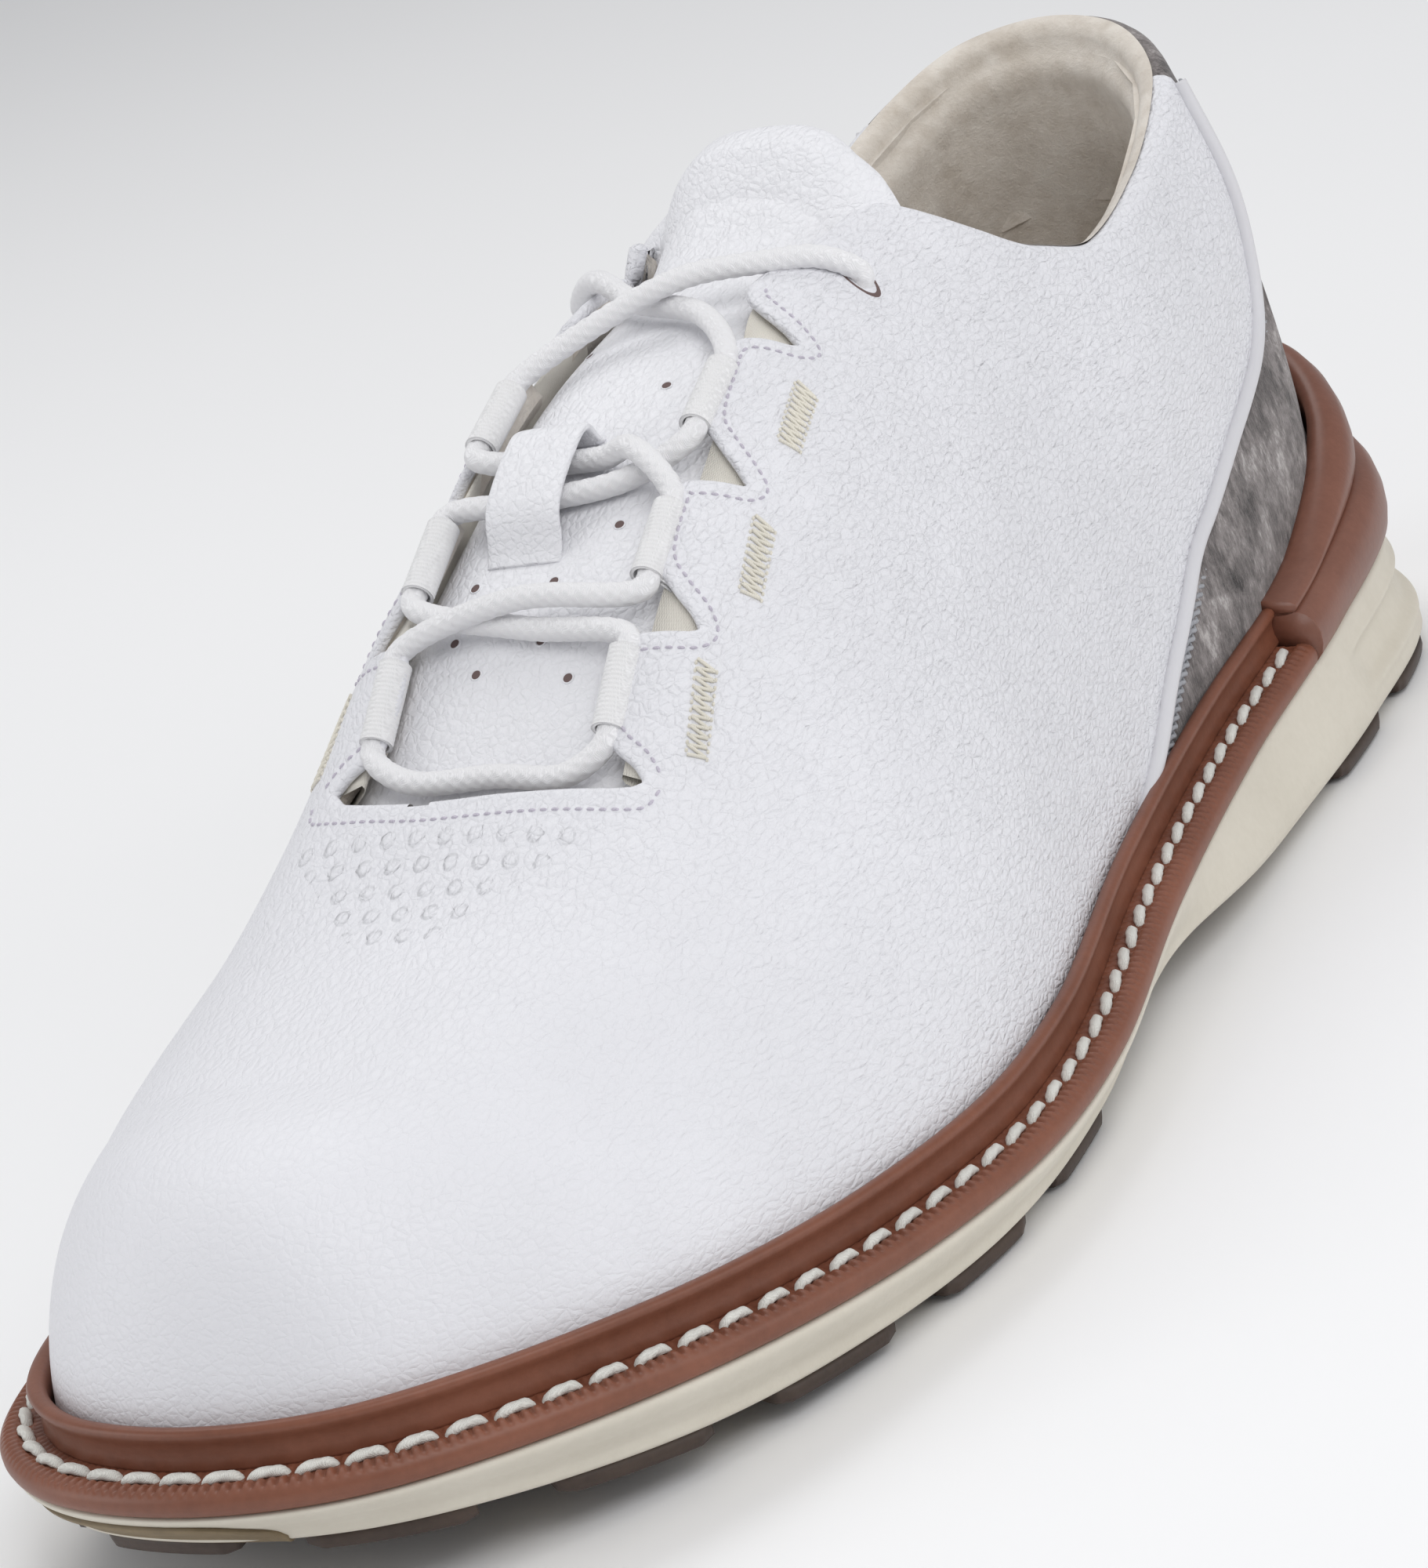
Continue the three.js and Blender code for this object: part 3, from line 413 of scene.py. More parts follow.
def coords(m, scale=(1, 1, 1), rotate=(0, 0, 0)):
    mapping = m.node_tree.nodes.new("ShaderNodeMapping")
    mapping.inputs["Scale"].default_value = scale
    mapping.inputs["Rotation"].default_value = rotate
    link(m, m.node_tree.nodes[m["coord"]].outputs["Object"], mapping.inputs["Vector"])
    return mapping.outputs["Vector"]


def noise(m, scale, detail=3, rough=0.5, vector=None):
    n = node(m, "ShaderNodeTexNoise", Scale=scale, Detail=detail, Roughness=rough)
    link(m, vector if vector is not None else coords(m), n.inputs["Vector"])
    return n.outputs["Fac"]


def cells(m, scale, feature="F1", vector=None, smooth=0.3):
    n = node(m, "ShaderNodeTexVoronoi", Scale=scale)
    n.feature = feature
    if "Smoothness" in n.inputs:
        n.inputs["Smoothness"].default_value = smooth
    link(m, vector if vector is not None else coords(m), n.inputs["Vector"])
    return n.outputs["Distance"]


def math_node(m, op, a, b=None, c=None, clamp=False):
    n = m.node_tree.nodes.new("ShaderNodeMath")
    n.operation = op
    n.use_clamp = clamp
    for k, v in enumerate((a, b, c)):
        if v is None:
            continue
        if isinstance(v, (int, float)):
            n.inputs[k].default_value = v
        else:
            link(m, v, n.inputs[k])
    return n.outputs[0]


def ramp(m, value, stops):
    n = m.node_tree.nodes.new("ShaderNodeValToRGB")
    r = n.color_ramp
    while len(r.elements) < len(stops):
        r.elements.new(0.5)
    for e, (pos, col) in zip(r.elements, stops):
        e.position = pos
        e.color = (*col, 1) if len(col) == 3 else col
    link(m, value, n.inputs[0])
    return n.outputs[0]


def set_colour(m, value):
    link(m, value, m.node_tree.nodes["Principled BSDF"].inputs["Base Color"])


def set_rough(m, value, low, high):
    n = m.node_tree.nodes.new("ShaderNodeMapRange")
    n.inputs["To Min"].default_value = low
    n.inputs["To Max"].default_value = high
    link(m, value, n.inputs["Value"])
    link(m, n.outputs[0], m.node_tree.nodes["Principled BSDF"].inputs["Roughness"])


def bump(m, layers):
    """layers of (height value, distance in metres, strength), coarse to fine."""
    last_out = None
    for value, distance, strength in layers:
        n = m.node_tree.nodes.new("ShaderNodeBump")
        n.inputs["Distance"].default_value = distance
        n.inputs["Strength"].default_value = strength
        link(m, value, n.inputs["Height"])
        if last_out is not None:
            link(m, last_out, n.inputs["Normal"])
        last_out = n.outputs["Normal"]
    link(m, last_out, m.node_tree.nodes["Principled BSDF"].inputs["Normal"])


def leather(name, colour, grain=1.0, shade=0.95, dimples=False):
    m = material(name, colour, 0.46, sheen=0.05, spec=0.4)
    warp = node(m, "ShaderNodeTexNoise", Scale=320.0, Detail=2.0)
    link(m, coords(m), warp.inputs["Vector"])
    mixed = m.node_tree.nodes.new("ShaderNodeVectorMath")
    mixed.operation = "MULTIPLY_ADD"
    link(m, warp.outputs["Color"], mixed.inputs[0])
    mixed.inputs[1].default_value = (0.0011, 0.0011, 0.0011)
    link(m, m.node_tree.nodes[m["coord"]].outputs["Object"], mixed.inputs[2])
    stretch = m.node_tree.nodes.new("ShaderNodeMapping")
    stretch.inputs["Rotation"].default_value = (0.0, 0.35, 0.35)
    stretch.inputs["Scale"].default_value = (1.0, 0.62, 1.25)
    link(m, mixed.outputs[0], stretch.inputs["Vector"])
    def grooves(scale, width):
        d = cells(m, scale, "DISTANCE_TO_EDGE", stretch.outputs["Vector"])
        dome = math_node(m, "MINIMUM", math_node(m, "DIVIDE", d, width), 1.0)
        return math_node(m, "POWER", dome, 0.75)
    coarse = grooves(780.0, 0.36)
    fine = grooves(1600.0, 0.42)
    swell = noise(m, 120.0, 3, 0.5)
    pores = noise(m, 3000.0, 2)
    large = noise(m, 38.0, 3)
    # the grain is strong on the quarters and nearly smooth on the lasted toe
    sep = m.node_tree.nodes.new("ShaderNodeSeparateXYZ")
    link(m, m.node_tree.nodes[m["coord"]].outputs["Object"], sep.inputs[0])
    amount = m.node_tree.nodes.new("ShaderNodeMapRange")
    amount.inputs["From Min"].default_value = -0.125
    amount.inputs["From Max"].default_value = -0.02
    amount.inputs["To Min"].default_value = 0.3
    amount.inputs["To Max"].default_value = 1.0
    link(m, sep.outputs[1], amount.inputs["Value"])
    coarse_h = math_node(m, "MULTIPLY", coarse, amount.outputs[0])
    fine_h = math_node(m, "MULTIPLY", fine, amount.outputs[0])
    dark = tuple(c * shade for c in colour)
    set_colour(m, ramp(m, large, [(0.3, dark), (0.7, colour)]))
    set_rough(m, coarse, 0.56, 0.42)
    layers = [(swell, 0.0005, 0.35 * grain), (coarse_h, 0.00026, 0.75 * grain),
              (fine_h, 0.0001, 0.65 * grain), (pores, 0.00003, 0.3)]
    if dimples:
        layers.insert(0, (dimple_field(m), 0.00045, 0.9))
    bump(m, layers)
    return m


def dimple_field(m):
    """Embossed ovals in staggered rows on the vamp, fading out towards the toe."""
    sep = m.node_tree.nodes.new("ShaderNodeSeparateXYZ")
    link(m, m.node_tree.nodes[m["coord"]].outputs["Object"], sep.inputs[0])
    x = math_node(m, "ADD", sep.outputs[0], 0.0058)
    y = math_node(m, "ADD", sep.outputs[1], 0.0672)
    px, py = 0.0042, 0.0036
    row = math_node(m, "DIVIDE", y, -py)
    row_i = math_node(m, "FLOOR", row)
    odd = math_node(m, "MULTIPLY", math_node(m, "MODULO", row_i, 2.0), 0.5)
    col = math_node(m, "ADD", math_node(m, "DIVIDE", x, px), odd)
    fx = math_node(m, "SUBTRACT", math_node(m, "FRACT", math_node(m, "ADD", col, 50.0)), 0.5)
    fy = math_node(m, "SUBTRACT", math_node(m, "FRACT", row), 0.5)
    ex = math_node(m, "MULTIPLY", math_node(m, "POWER", math_node(m, "ABSOLUTE", fx), 2.0), 11.0)
    ey = math_node(m, "MULTIPLY", math_node(m, "POWER", math_node(m, "ABSOLUTE", fy), 2.0), 7.0)
    blob = math_node(m, "SUBTRACT", 1.0, math_node(m, "ADD", ex, ey), clamp=True)
    blob = math_node(m, "MULTIPLY", math_node(m, "MULTIPLY", blob, blob),
                     math_node(m, "MULTIPLY_ADD", blob, -2.0, 3.0))
    # the field is a rounded wedge that narrows towards the toe
    inside_y = math_node(m, "MULTIPLY", math_node(m, "GREATER_THAN", row, 0.0),
                         math_node(m, "LESS_THAN", row, 5.0))
    half = math_node(m, "MULTIPLY_ADD", row, -0.0036, 0.0225)
    inside_x = math_node(m, "LESS_THAN", math_node(m, "ABSOLUTE", x), half)
    return math_node(m, "MULTIPLY", math_node(m, "MULTIPLY", inside_x, inside_y), blob)


WHITE_LEATHER = leather("white_leather", (0.80, 0.80, 0.835), dimples=True)
TONGUE_LEATHER = leather("tongue_leather", (0.84, 0.84, 0.87), grain=0.75)


def make_suede():
    m = material("heel_suede", (0.19, 0.165, 0.16), 0.95, sheen=0.25, spec=0.15)
    warp = node(m, "ShaderNodeTexNoise", Scale=260.0, Detail=3.0)
    link(m, coords(m), warp.inputs["Vector"])
    mixed = m.node_tree.nodes.new("ShaderNodeVectorMath")
    mixed.operation = "MULTIPLY_ADD"
    link(m, warp.outputs["Color"], mixed.inputs[0])
    mixed.inputs[1].default_value = (0.003, 0.003, 0.006)
    link(m, m.node_tree.nodes[m["coord"]].outputs["Object"], mixed.inputs[2])
    patch = noise(m, 105.0, 5, 0.68, mixed.outputs[0])
    hair = noise(m, 2400.0, 4, 0.7, coords(m, (1.0, 1.0, 0.3), (0.5, 0.2, 0.0)))
    tuft = noise(m, 700.0, 4, 0.7, coords(m, (1.0, 1.0, 0.5), (0.2, 0.4, 0.0)))
    mix = math_node(m, "ADD", math_node(m, "MULTIPLY", patch, 0.55),
                    math_node(m, "ADD", math_node(m, "MULTIPLY", tuft, 0.25), math_node(m, "MULTIPLY", hair, 0.2)))
    set_colour(m, ramp(m, mix, [(0.38, (0.035, 0.03, 0.03)), (0.47, (0.13, 0.115, 0.112)),
                                (0.55, (0.25, 0.225, 0.22)), (0.64, (0.55, 0.52, 0.51))]))
    bump(m, [(patch, 0.0006, 0.4), (tuft, 0.0003, 0.6), (hair, 0.0002, 0.9)])
    return m


SUEDE = make_suede()


def rubber(name, dark, light, rough=(0.42, 0.6), scale=1.0):
    m = material(name, light, 0.5, spec=0.45)
    cloud = noise(m, 42.0 * scale, 4, 0.6)
    speck = noise(m, 900.0, 3, 0.6)
    mix = math_node(m, "ADD", math_node(m, "MULTIPLY", cloud, 0.75), math_node(m, "MULTIPLY", speck, 0.25))
    set_colour(m, ramp(m, mix, [(0.35, dark), (0.65, light)]))
    set_rough(m, cloud, *rough)
    bump(m, [(cloud, 0.0006, 0.12), (speck, 0.0001, 0.35)])
    return m


BROWN = rubber("brown_welt", (0.16, 0.055, 0.030), (0.235, 0.085, 0.048), (0.34, 0.52))
BROWN_CUP = rubber("brown_heel_cup", (0.17, 0.066, 0.042), (0.235, 0.098, 0.065), (0.3, 0.5))
CREAM = rubber("cream_midsole", (0.63, 0.585, 0.495), (0.70, 0.655, 0.565), (0.5, 0.66))
OLIVE = rubber("tread_rubber", (0.16, 0.115, 0.06), (0.26, 0.195, 0.11), (0.45, 0.62))
DARK_LUG = rubber("tread_lugs", (0.035, 0.022, 0.016), (0.07, 0.045, 0.033), (0.4, 0.6))


def textile(name, colour, weave=1400.0, shade=0.72, sheen=0.15, rough=0.88):
    m = material(name, colour, rough, sheen=sheen, spec=0.2)
    a = m.node_tree.nodes.new("ShaderNodeTexWave")
    a.inputs["Scale"].default_value = weave
    a.inputs["Distortion"].default_value = 2.0
    link(m, coords(m, (1, 1, 1), (0.3, 0.2, 0.5)), a.inputs["Vector"])
    b = m.node_tree.nodes.new("ShaderNodeTexWave")
    b.inputs["Scale"].default_value = weave
    b.inputs["Distortion"].default_value = 2.0
    link(m, coords(m, (1, 1, 1), (1.2, 0.9, 2.0)), b.inputs["Vector"])
    weave_h = math_node(m, "MULTIPLY", a.outputs["Fac"], b.outputs["Fac"])
    cloud = noise(m, 70.0, 4, 0.6)
    set_colour(m, ramp(m, cloud, [(0.3, tuple(c * shade for c in colour)), (0.7, colour)]))
    bump(m, [(cloud, 0.0012, 0.3), (weave_h, 0.0002, 0.5)])
    return m




def make_fleece():
    m = material("lining", (0.76, 0.70, 0.62), 0.95, sheen=0.5, spec=0.1)
    hair = noise(m, 1900.0, 5, 0.75)
    clump = noise(m, 320.0, 4, 0.65)
    cloud = noise(m, 60.0, 4, 0.6)
    mix = math_node(m, "ADD", math_node(m, "MULTIPLY", cloud, 0.6), math_node(m, "MULTIPLY", clump, 0.4))
    set_colour(m, ramp(m, mix, [(0.34, (0.60, 0.53, 0.45)), (0.56, (0.80, 0.74, 0.665)),
                                (0.7, (0.84, 0.80, 0.73))]))
    bump(m, [(cloud, 0.0012, 0.4), (clump, 0.0005, 0.5), (hair, 0.00025, 0.9)])
    return m


LINING = make_fleece()
INSOLE = textile("insole_cover", (0.42, 0.33, 0.255), 900.0)
BACKING = textile("eyestay_backing", (0.80, 0.765, 0.69), 1800.0, 0.94)
THREAD = textile("welt_thread", (0.80, 0.79, 0.74), 2400.0, 0.85, 0.1, 0.7)
LILAC_THREAD = textile("lilac_thread", (0.64, 0.60, 0.69), 2400.0, 0.85, 0.1, 0.7)
CREAM_THREAD = textile("cream_thread", (0.86, 0.82, 0.72), 2400.0, 0.88, 0.1, 0.7)
GREY_THREAD = textile("grey_thread", (0.44, 0.45, 0.48), 2400.0, 0.8, 0.1, 0.6)
LACE_CLOTH = textile("lace_braid", (0.90, 0.895, 0.91), 2600.0, 0.97, 0.2, 0.75)
WEBBING = textile("webbing", (0.88, 0.875, 0.88), 2600.0, 0.95, 0.2, 0.8)
PIPING = material("piping", (0.66, 0.655, 0.68), 0.5, spec=0.4)
bump(PIPING, [(noise(PIPING, 500.0, 3), 0.0003, 0.3)])
set_rough(PIPING, noise(PIPING, 120.0, 3), 0.42, 0.6)
# Painted shade: a dark colour laid on discs and rings that stand in for the shade inside the punched holes
HOLE_SHADE = material("hole_shadow", (0.16, 0.115, 0.11), 0.9, spec=0.1)
set_rough(HOLE_SHADE, noise(HOLE_SHADE, 900.0, 2), 0.8, 1.0)
BOARD = textile("fibre_board", (0.30, 0.22, 0.14), 1200.0)


def bends(obj, *nodes):
    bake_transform(obj)
    if nodes:
        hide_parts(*nodes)


def rear(obj, *nodes):
    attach(obj, REAR)
    if nodes:
        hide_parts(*nodes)


# ------------------------------------------------------------------ upper
RIM = [(36.8, 102.3), (46, 94), (57, 86.5), (73, 81.5), (93, 84), (115, 91.3), (133, 98.5),
       (141, 101.5)]
PIPE = [(0.0715, 43.5), (0.073, 37), (0.0752, 30.5), (0.079, 26), (0.0892, 22.8), (0.1063, 20.4),
        (0.1234, 18.6), (0.1414, 16.4), (0.1555, 15), (0.1676, 13.4), (0.1835, 11), (0.1977, 8),
        (0.2181, 4.5), (0.224, 3.6)]
# Facing edge with its three tabs: station along the shoe, distance out.
FACING = [(-63.9, -9.2), (-63.8, -4), (-63.5, 1.5), (-63.2, 7), (-62.7, 12), (-62.2, 15.8),
          (-61.6, 18.6), (-60.9, 20.4), (-59.6, 21.6), (-57.8, 20.0), (-56.4, 17.0), (-54.5, 15.2),
          (-50, 14.7), (-46, 15.0), (-44.6, 16.4), (-43.5, 19.4), (-42.3, 22.8), (-41.2, 23.8),
          (-39.8, 22.9), (-37.6, 19.8), (-35.4, 17.3), (-33, 16.3), (-28, 15.9), (-25, 15.9),
          (-23.9, 16.9), (-22.7, 19.9), (-21.5, 23.0), (-20.4, 23.6), (-19, 22.3), (-16.6, 19.2),
          (-14.4, 16.9), (-12, 16.0), (-6, 15.3), (-1.6, 14.8), (0.1, 15.4), (1.6, 17.2),
          (3.4, 20.6), (5, 21.4), (6.6, 19.4), (8.4, 15.4), (10, 13.2), (12.5, 12.6), (18, 13.7),
          (26, 15.9), (32, 17.4), (36.8, 20.2)]
FACING_M = [(-63.9, -9.2), (-63.7, -13), (-63.2, -17.5), (-62.3, -21)] + [
    (y, -2.4 - x) for y, x in FACING if y > -61]


def folded(u):
    u = np.asarray(u, float) % 1.0
    return np.minimum(u, 1 - u)


def rim_angle(u):
    phi = np.linspace(4, 89.5, 900)
    p = last(np.asarray(u)[:, None], phi[None, :])
    d = p[..., 2] - table(RIM, p[..., 1])
    k = np.argmax(d > 0, axis=1)
    k = np.clip(k, 1, None)
    r = np.arange(len(u))
    d0, d1 = d[r, k - 1], d[r, k]
    return phi[k - 1] + (phi[k] - phi[k - 1]) * d0 / (d0 - d1)


def stations():
    def run(a, b, step):
        return list(np.arange(a, b, -step))
    ys = (run(104.9, 60, 1.4) + run(60, 12, 0.8) + run(12, -60, 0.42) + run(-60, -62.5, 0.2)
          + run(-62.5, -63.87, 0.08) + run(-63.9, -107.9, 1.1))
    return np.array(ys)


YS = stations()
_ul, _um = ray_at(YS, True), ray_at(YS, False)
_n_heel = 130
RAYS = np.r_[np.linspace(0, _ul[0], _n_heel, endpoint=False), _ul,
             np.linspace(_ul[-1], _um[-1], 112)[1:-1], _um[::-1],
             np.linspace(_um[0], 1, _n_heel + 1)[1:-1]]
FOOT_Y = edge(RAYS, INSET)[:, 1]


def top_angles():
    phi = np.full(len(RAYS), 90.0)
    lateral = RAYS < 0.5
    high = FOOT_Y > 36.8
    phi[high] = rim_angle(RAYS[high])
    for side, rows in ((True, FACING), (False, FACING_M)):
        k = (~high) & (lateral == side) & (FOOT_Y > -63.89)
        x = table(rows, FOOT_Y[k])
        phi[k] = angle_at(RAYS[k], x, FOOT_Y[k])
    return phi


PHI_TOP = top_angles()
ON_EDGE = PHI_TOP < 89.99


def puff(phi, top, y):
    """Fullness of the padding under the collar, with a slight dip below it."""
    collar = 1 / (1 + np.exp(-(y - 58) / 7))
    return (1.5 * collar * np.exp(-((top - phi - 9) / 7.0) ** 2)
            - 0.7 * collar * np.exp(-((top - phi - 22) / 6.0) ** 2))


def upper_surface(rays, low, top, rows, out=0.0):
    s = np.linspace(0, 1, rows)[None, :]
    phi = low[:, None] + (top - low)[:, None] * s
    u = rays[:, None] * np.ones_like(phi)
    p = last(u, phi)
    n = last_normal(u, phi)
    y = p[..., 1]
    lift = puff(phi, top[:, None], y) + out
    return p + n * lift[..., None], n


def rolled_edge(points, normals, radius):
    """The leather turns over its edge and runs back along the inside."""
    e = np.gradient(points, axis=0)
    e /= np.linalg.norm(e, axis=1)[:, None]
    t = np.cross(e, normals)
    t /= np.linalg.norm(t, axis=1)[:, None]
    if t[len(t) // 4][2] < 0 and abs(t[len(t) // 4][2]) > 0.1:
        t = -t
    r = radius[:, None]
    rows = [points]
    for a in np.radians([25, 50, 75, 90, 105, 130, 155, 180]):
        rows.append(points + t * r * math.sin(a) - normals * r * (1 - math.cos(a)))
    end = rows[-1]
    for back in (2, 5, 9):
        rows.append(end - t * back - normals * 0.12 * back)
    return np.stack(rows, 1)


def roll_radius(y):
    return table([(-76, 0.8), (28, 0.8), (46, 1.9), (70, 2.4), (142, 2.5)], y)


def make_upper():
    f = folded(RAYS)
    keep = np.where(f >= 0.0714)[0]
    rays, top, y = RAYS[keep], PHI_TOP[keep], FOOT_Y[keep]
    pipe = table(PIPE, f[keep]) - 0.4
    fade = np.clip((f[keep] - 0.224) / 0.02, 0, 1)
    low = np.where(f[keep] < 0.224, pipe, pipe * (1 - fade))
    low = np.minimum(low, top - 0.05)
    p, n = upper_surface(rays, low, top, 64)
    parts = [(p.reshape(-1, 3), grid(len(keep), 64))]
    on = np.where(ON_EDGE[keep])[0]
    split = int(np.argmax(rays[on] > 0.5))
    for idx in (on[:split], on[split:]):
        pts, nor = p[idx, -1], n[idx, -1]
        rolled = rolled_edge(pts, nor, roll_radius(y[idx]))
        parts.append((rolled.reshape(-1, 3), grid(rolled.shape[0], rolled.shape[1])))
    v, faces = merge(parts)
    obj = new_object("upper_leather", v, faces, WHITE_LEATHER)
    weld(obj, 4e-5)
    bends(obj, "vamp_toe", "vamp_flex_zone", "vamp_and_quarters")


def make_patch():
    f = folded(RAYS)
    keep = np.where(f <= 0.2245)[0]
    order = np.argsort((RAYS[keep] + 0.5) % 1.0)
    keep = keep[order]
    rays = (RAYS[keep] + 0.5) % 1.0 - 0.5
    under_pipe = np.minimum(table(PIPE, f[keep]) + 0.6, PHI_TOP[keep])
    top = np.where(f[keep] < 0.0714, PHI_TOP[keep], under_pipe)
    p, n = upper_surface(rays, np.zeros(len(keep)), top, 48, -0.25)
    parts = [(p.reshape(-1, 3), grid(len(keep), 48))]
    idx = np.where(f[keep] < 0.0725)[0]
    rolled = rolled_edge(p[idx, -1], n[idx, -1], roll_radius(p[idx, -1, 1]))
    parts.append((rolled.reshape(-1, 3), grid(rolled.shape[0], rolled.shape[1])))
    v, faces = merge(parts)
    obj = weld(new_object("heel_patch_suede", v, faces, SUEDE), 4e-5)
    rear(obj, "heel_patch")


make_upper()
make_patch()


def make_lining():
    """Inside of the shoe: soft lining from the crest of the rim down to the insole."""
    top = np.where(ON_EDGE, PHI_TOP, 90.0)
    base, n0 = upper_surface(RAYS, np.zeros(len(RAYS)), top, 2)
    pts, nor = base[:, -1], n0[:, -1]
    collar = 1 / (1 + np.exp(-(FOOT_Y[:, None] - 48) / 5))
    e = np.gradient(pts, axis=0)
    e /= np.linalg.norm(e, axis=1)[:, None]
    t = np.cross(e, nor)
    t /= np.maximum(np.linalg.norm(t, axis=1), 1e-9)[:, None]
    t = np.where(t[:, 2:3] < 0, -t, t)
    r = (roll_radius(FOOT_Y) + np.where(FOOT_Y > 42, 0.3, -0.3))[:, None]
    flat = np.where(ON_EDGE, 1.0, 0.0)[:, None]
    rows = []
    for a in np.radians([180, 160, 140, 120, 100, 82]):
        rows.append(pts + t * r * math.sin(a) * flat - nor * r * (1 - math.cos(a)))
    steps = np.r_[0.5, 1.5, 2.5, 3.5, 5, 7, 9, 11, 13, 15, 18, 21, 25, 30]
    share = np.linspace(0, 1, 26)[1:]
    inner = []
    for gap in steps:
        inner.append(np.minimum(top - gap, top * 0.98))
    rest = inner[-1]
    for w in share:
        inner.append(rest * (1 - w) + 2.0 * w)
    for phi in inner:
        phi = np.maximum(phi, 2.0)
        gap = (top - phi)[:, None]
        pad = np.clip(gap / 2.0, 0, 1) * np.exp(-((gap - 6) / 11.0) ** 2)
        # room for the heel counter behind the lining
        heel = 0.9 / (1 + np.exp(-(FOOT_Y[:, None] - 95) / 6)) * np.clip(gap / 8.0, 0, 1)
        depth = 3.6 + heel + collar * (2.0 * np.exp(-(gap / 3.0) ** 2) + 3.4 * pad)
        wave = (0.22 * np.sin(RAYS[:, None] * 170 + gap * 0.2) * collar
                * np.exp(-((gap - 16) / 10.0) ** 2))
        rows.insert(0, last(RAYS, phi) - last_normal(RAYS, phi) * (depth + wave))
    v = np.stack(rows, 1)
    faces = grid(len(RAYS), v.shape[1], close_rows=True)
    obj = new_object("shoe_lining", v.reshape(-1, 3), faces, LINING)
    weld(obj, 4e-5)
    bends(obj, "quarter_lining", "vamp_lining", "collar_lining")


make_lining()


def pipe_path(side, lift, count=600):
    f = np.r_[np.linspace(0.0714, 0.08, count // 2), np.linspace(0.08, 0.226, count // 2 + 1)[1:]]
    phi = table(PIPE, f)
    u = f if side == "lateral" else 1 - f
    n = last_normal(u, phi)
    top = rim_angle(u)
    return last(u, phi) + n * (lift + puff(phi, top, last(u, phi)[:, 1]))[:, None], n


def make_piping():
    for side in ("lateral", "medial"):
        path, n = pipe_path(side, 0.45)
        count = 420
        d = np.r_[0, np.cumsum(np.linalg.norm(np.diff(path, axis=0), axis=1))]
        want = np.linspace(0, d[-1], count)
        path = np.stack([np.interp(want, d, path[:, k]) for k in range(3)], 1)
        n = np.stack([np.interp(want, d, n[:, k]) for k in range(3)], 1)
        n /= np.linalg.norm(n, axis=1)[:, None]
        t = np.gradient(path, axis=0)
        t /= np.linalg.norm(t, axis=1)[:, None]
        b = np.cross(t, n)
        if (b @ np.array([0, 1.0, -0.6])).mean() < 0:
            b = -b
        v, f = tube(path, 1.12, 18)
        obj = new_object(f"piping_cord_{side}", v, f, PIPING)
        rear(obj, f"piping_{side}")
        # a flat flange beside the cord, and the chain stitch that holds it on the suede
        rows = np.stack([path - n * 0.9, path + b * 0.7 - n * 0.05, path + b * 1.9 - n * 0.12,
                         path + b * 2.25 - n * 0.35, path + b * 2.2 - n * 1.2], 1)
        obj = new_object(f"piping_flange_{side}", rows.reshape(-1, 3), grid(count, 5), PIPING)
        rear(obj)
        line = path + b * 3.2 - n * 0.38
        fine = np.linspace(0, count - 1, 1600)
        base = np.stack([np.interp(fine, np.arange(count), line[:, k]) for k in range(3)], 1)
        across = np.stack([np.interp(fine, np.arange(count), b[:, k]) for k in range(3)], 1)
        up = np.stack([np.interp(fine, np.arange(count), n[:, k]) for k in range(3)], 1)
        run = np.r_[0, np.cumsum(np.linalg.norm(np.diff(base, axis=0), axis=1))]
        parts = []
        for start in (0.0, math.pi):
            turn = 2 * np.pi * run / 3.2 + start
            strand = (base + across * (0.52 * np.cos(turn))[:, None]
                      + up * (0.3 * np.sin(turn))[:, None])
            parts.append(tube(strand, 0.36, 7))
        v, f = merge(parts)
        rear(new_object(f"piping_stitch_{side}", v, f, GREY_THREAD))


make_piping()

# ------------------------------------------------------------------ facings
BACK_EDGE = [(-60, 17.5), (-45, 16.9), (-30, 17.0), (-15, 16.4), (-2, 15.2), (12, 12.4), (16, 12.6)]


def make_backing():
    for side in (1, -1):
        ys = np.linspace(-58, 13, 180)
        inner = table(BACK_EDGE, ys)
        rows = []
        for depth, w in ((3.0, 1.0), (3.0, 0.0), (2.45, -0.02), (1.95, 0.0), (1.9, 0.3),
                         (1.85, 0.65), (1.8, 1.0)):
            x = inner + (31 - inner) * w
            if side < 0:
                x = -2.4 - x
            rows.append(top_point(x, ys, depth))
        v = np.stack(rows, 1)
        name = "lateral" if side > 0 else "medial"
        obj = new_object(f"eyestay_backing_{name}", v.reshape(-1, 3), grid(len(ys), 7), BACKING)
        rear(weld(obj), f"eyestay_{name}")


make_backing()


def facing_line(side, y0, y1, inset, count=900):
    """A line on the upper that follows the facing edge at a steady distance from it."""
    rows = FACING if side > 0 else FACING_M
    ys = np.linspace(y0, y1, count)
    xs = table(rows, ys)
    p = np.stack([xs, ys], 1)
    t = np.gradient(p, axis=0)
    t /= np.linalg.norm(t, axis=1)[:, None]
    n = np.stack([-t[:, 1], t[:, 0]], 1) * (-1 if side > 0 else 1)
    q = p + n * inset
    if np.sign((q - p)[:, 0].mean()) != side:
        q = p - n * inset
    # drop the places where the offset line doubles back on itself
    keep = [0]
    for k in range(1, count):
        if np.dot(q[k] - q[keep[-1]], t[k]) > 0:
            keep.append(k)
    return q[keep]


def on_top(q, lift=0.0, depth=0.0):
    n = top_normal(q[:, 0], q[:, 1], depth)
    return top_point(q[:, 0], q[:, 1], depth) + n * lift, n


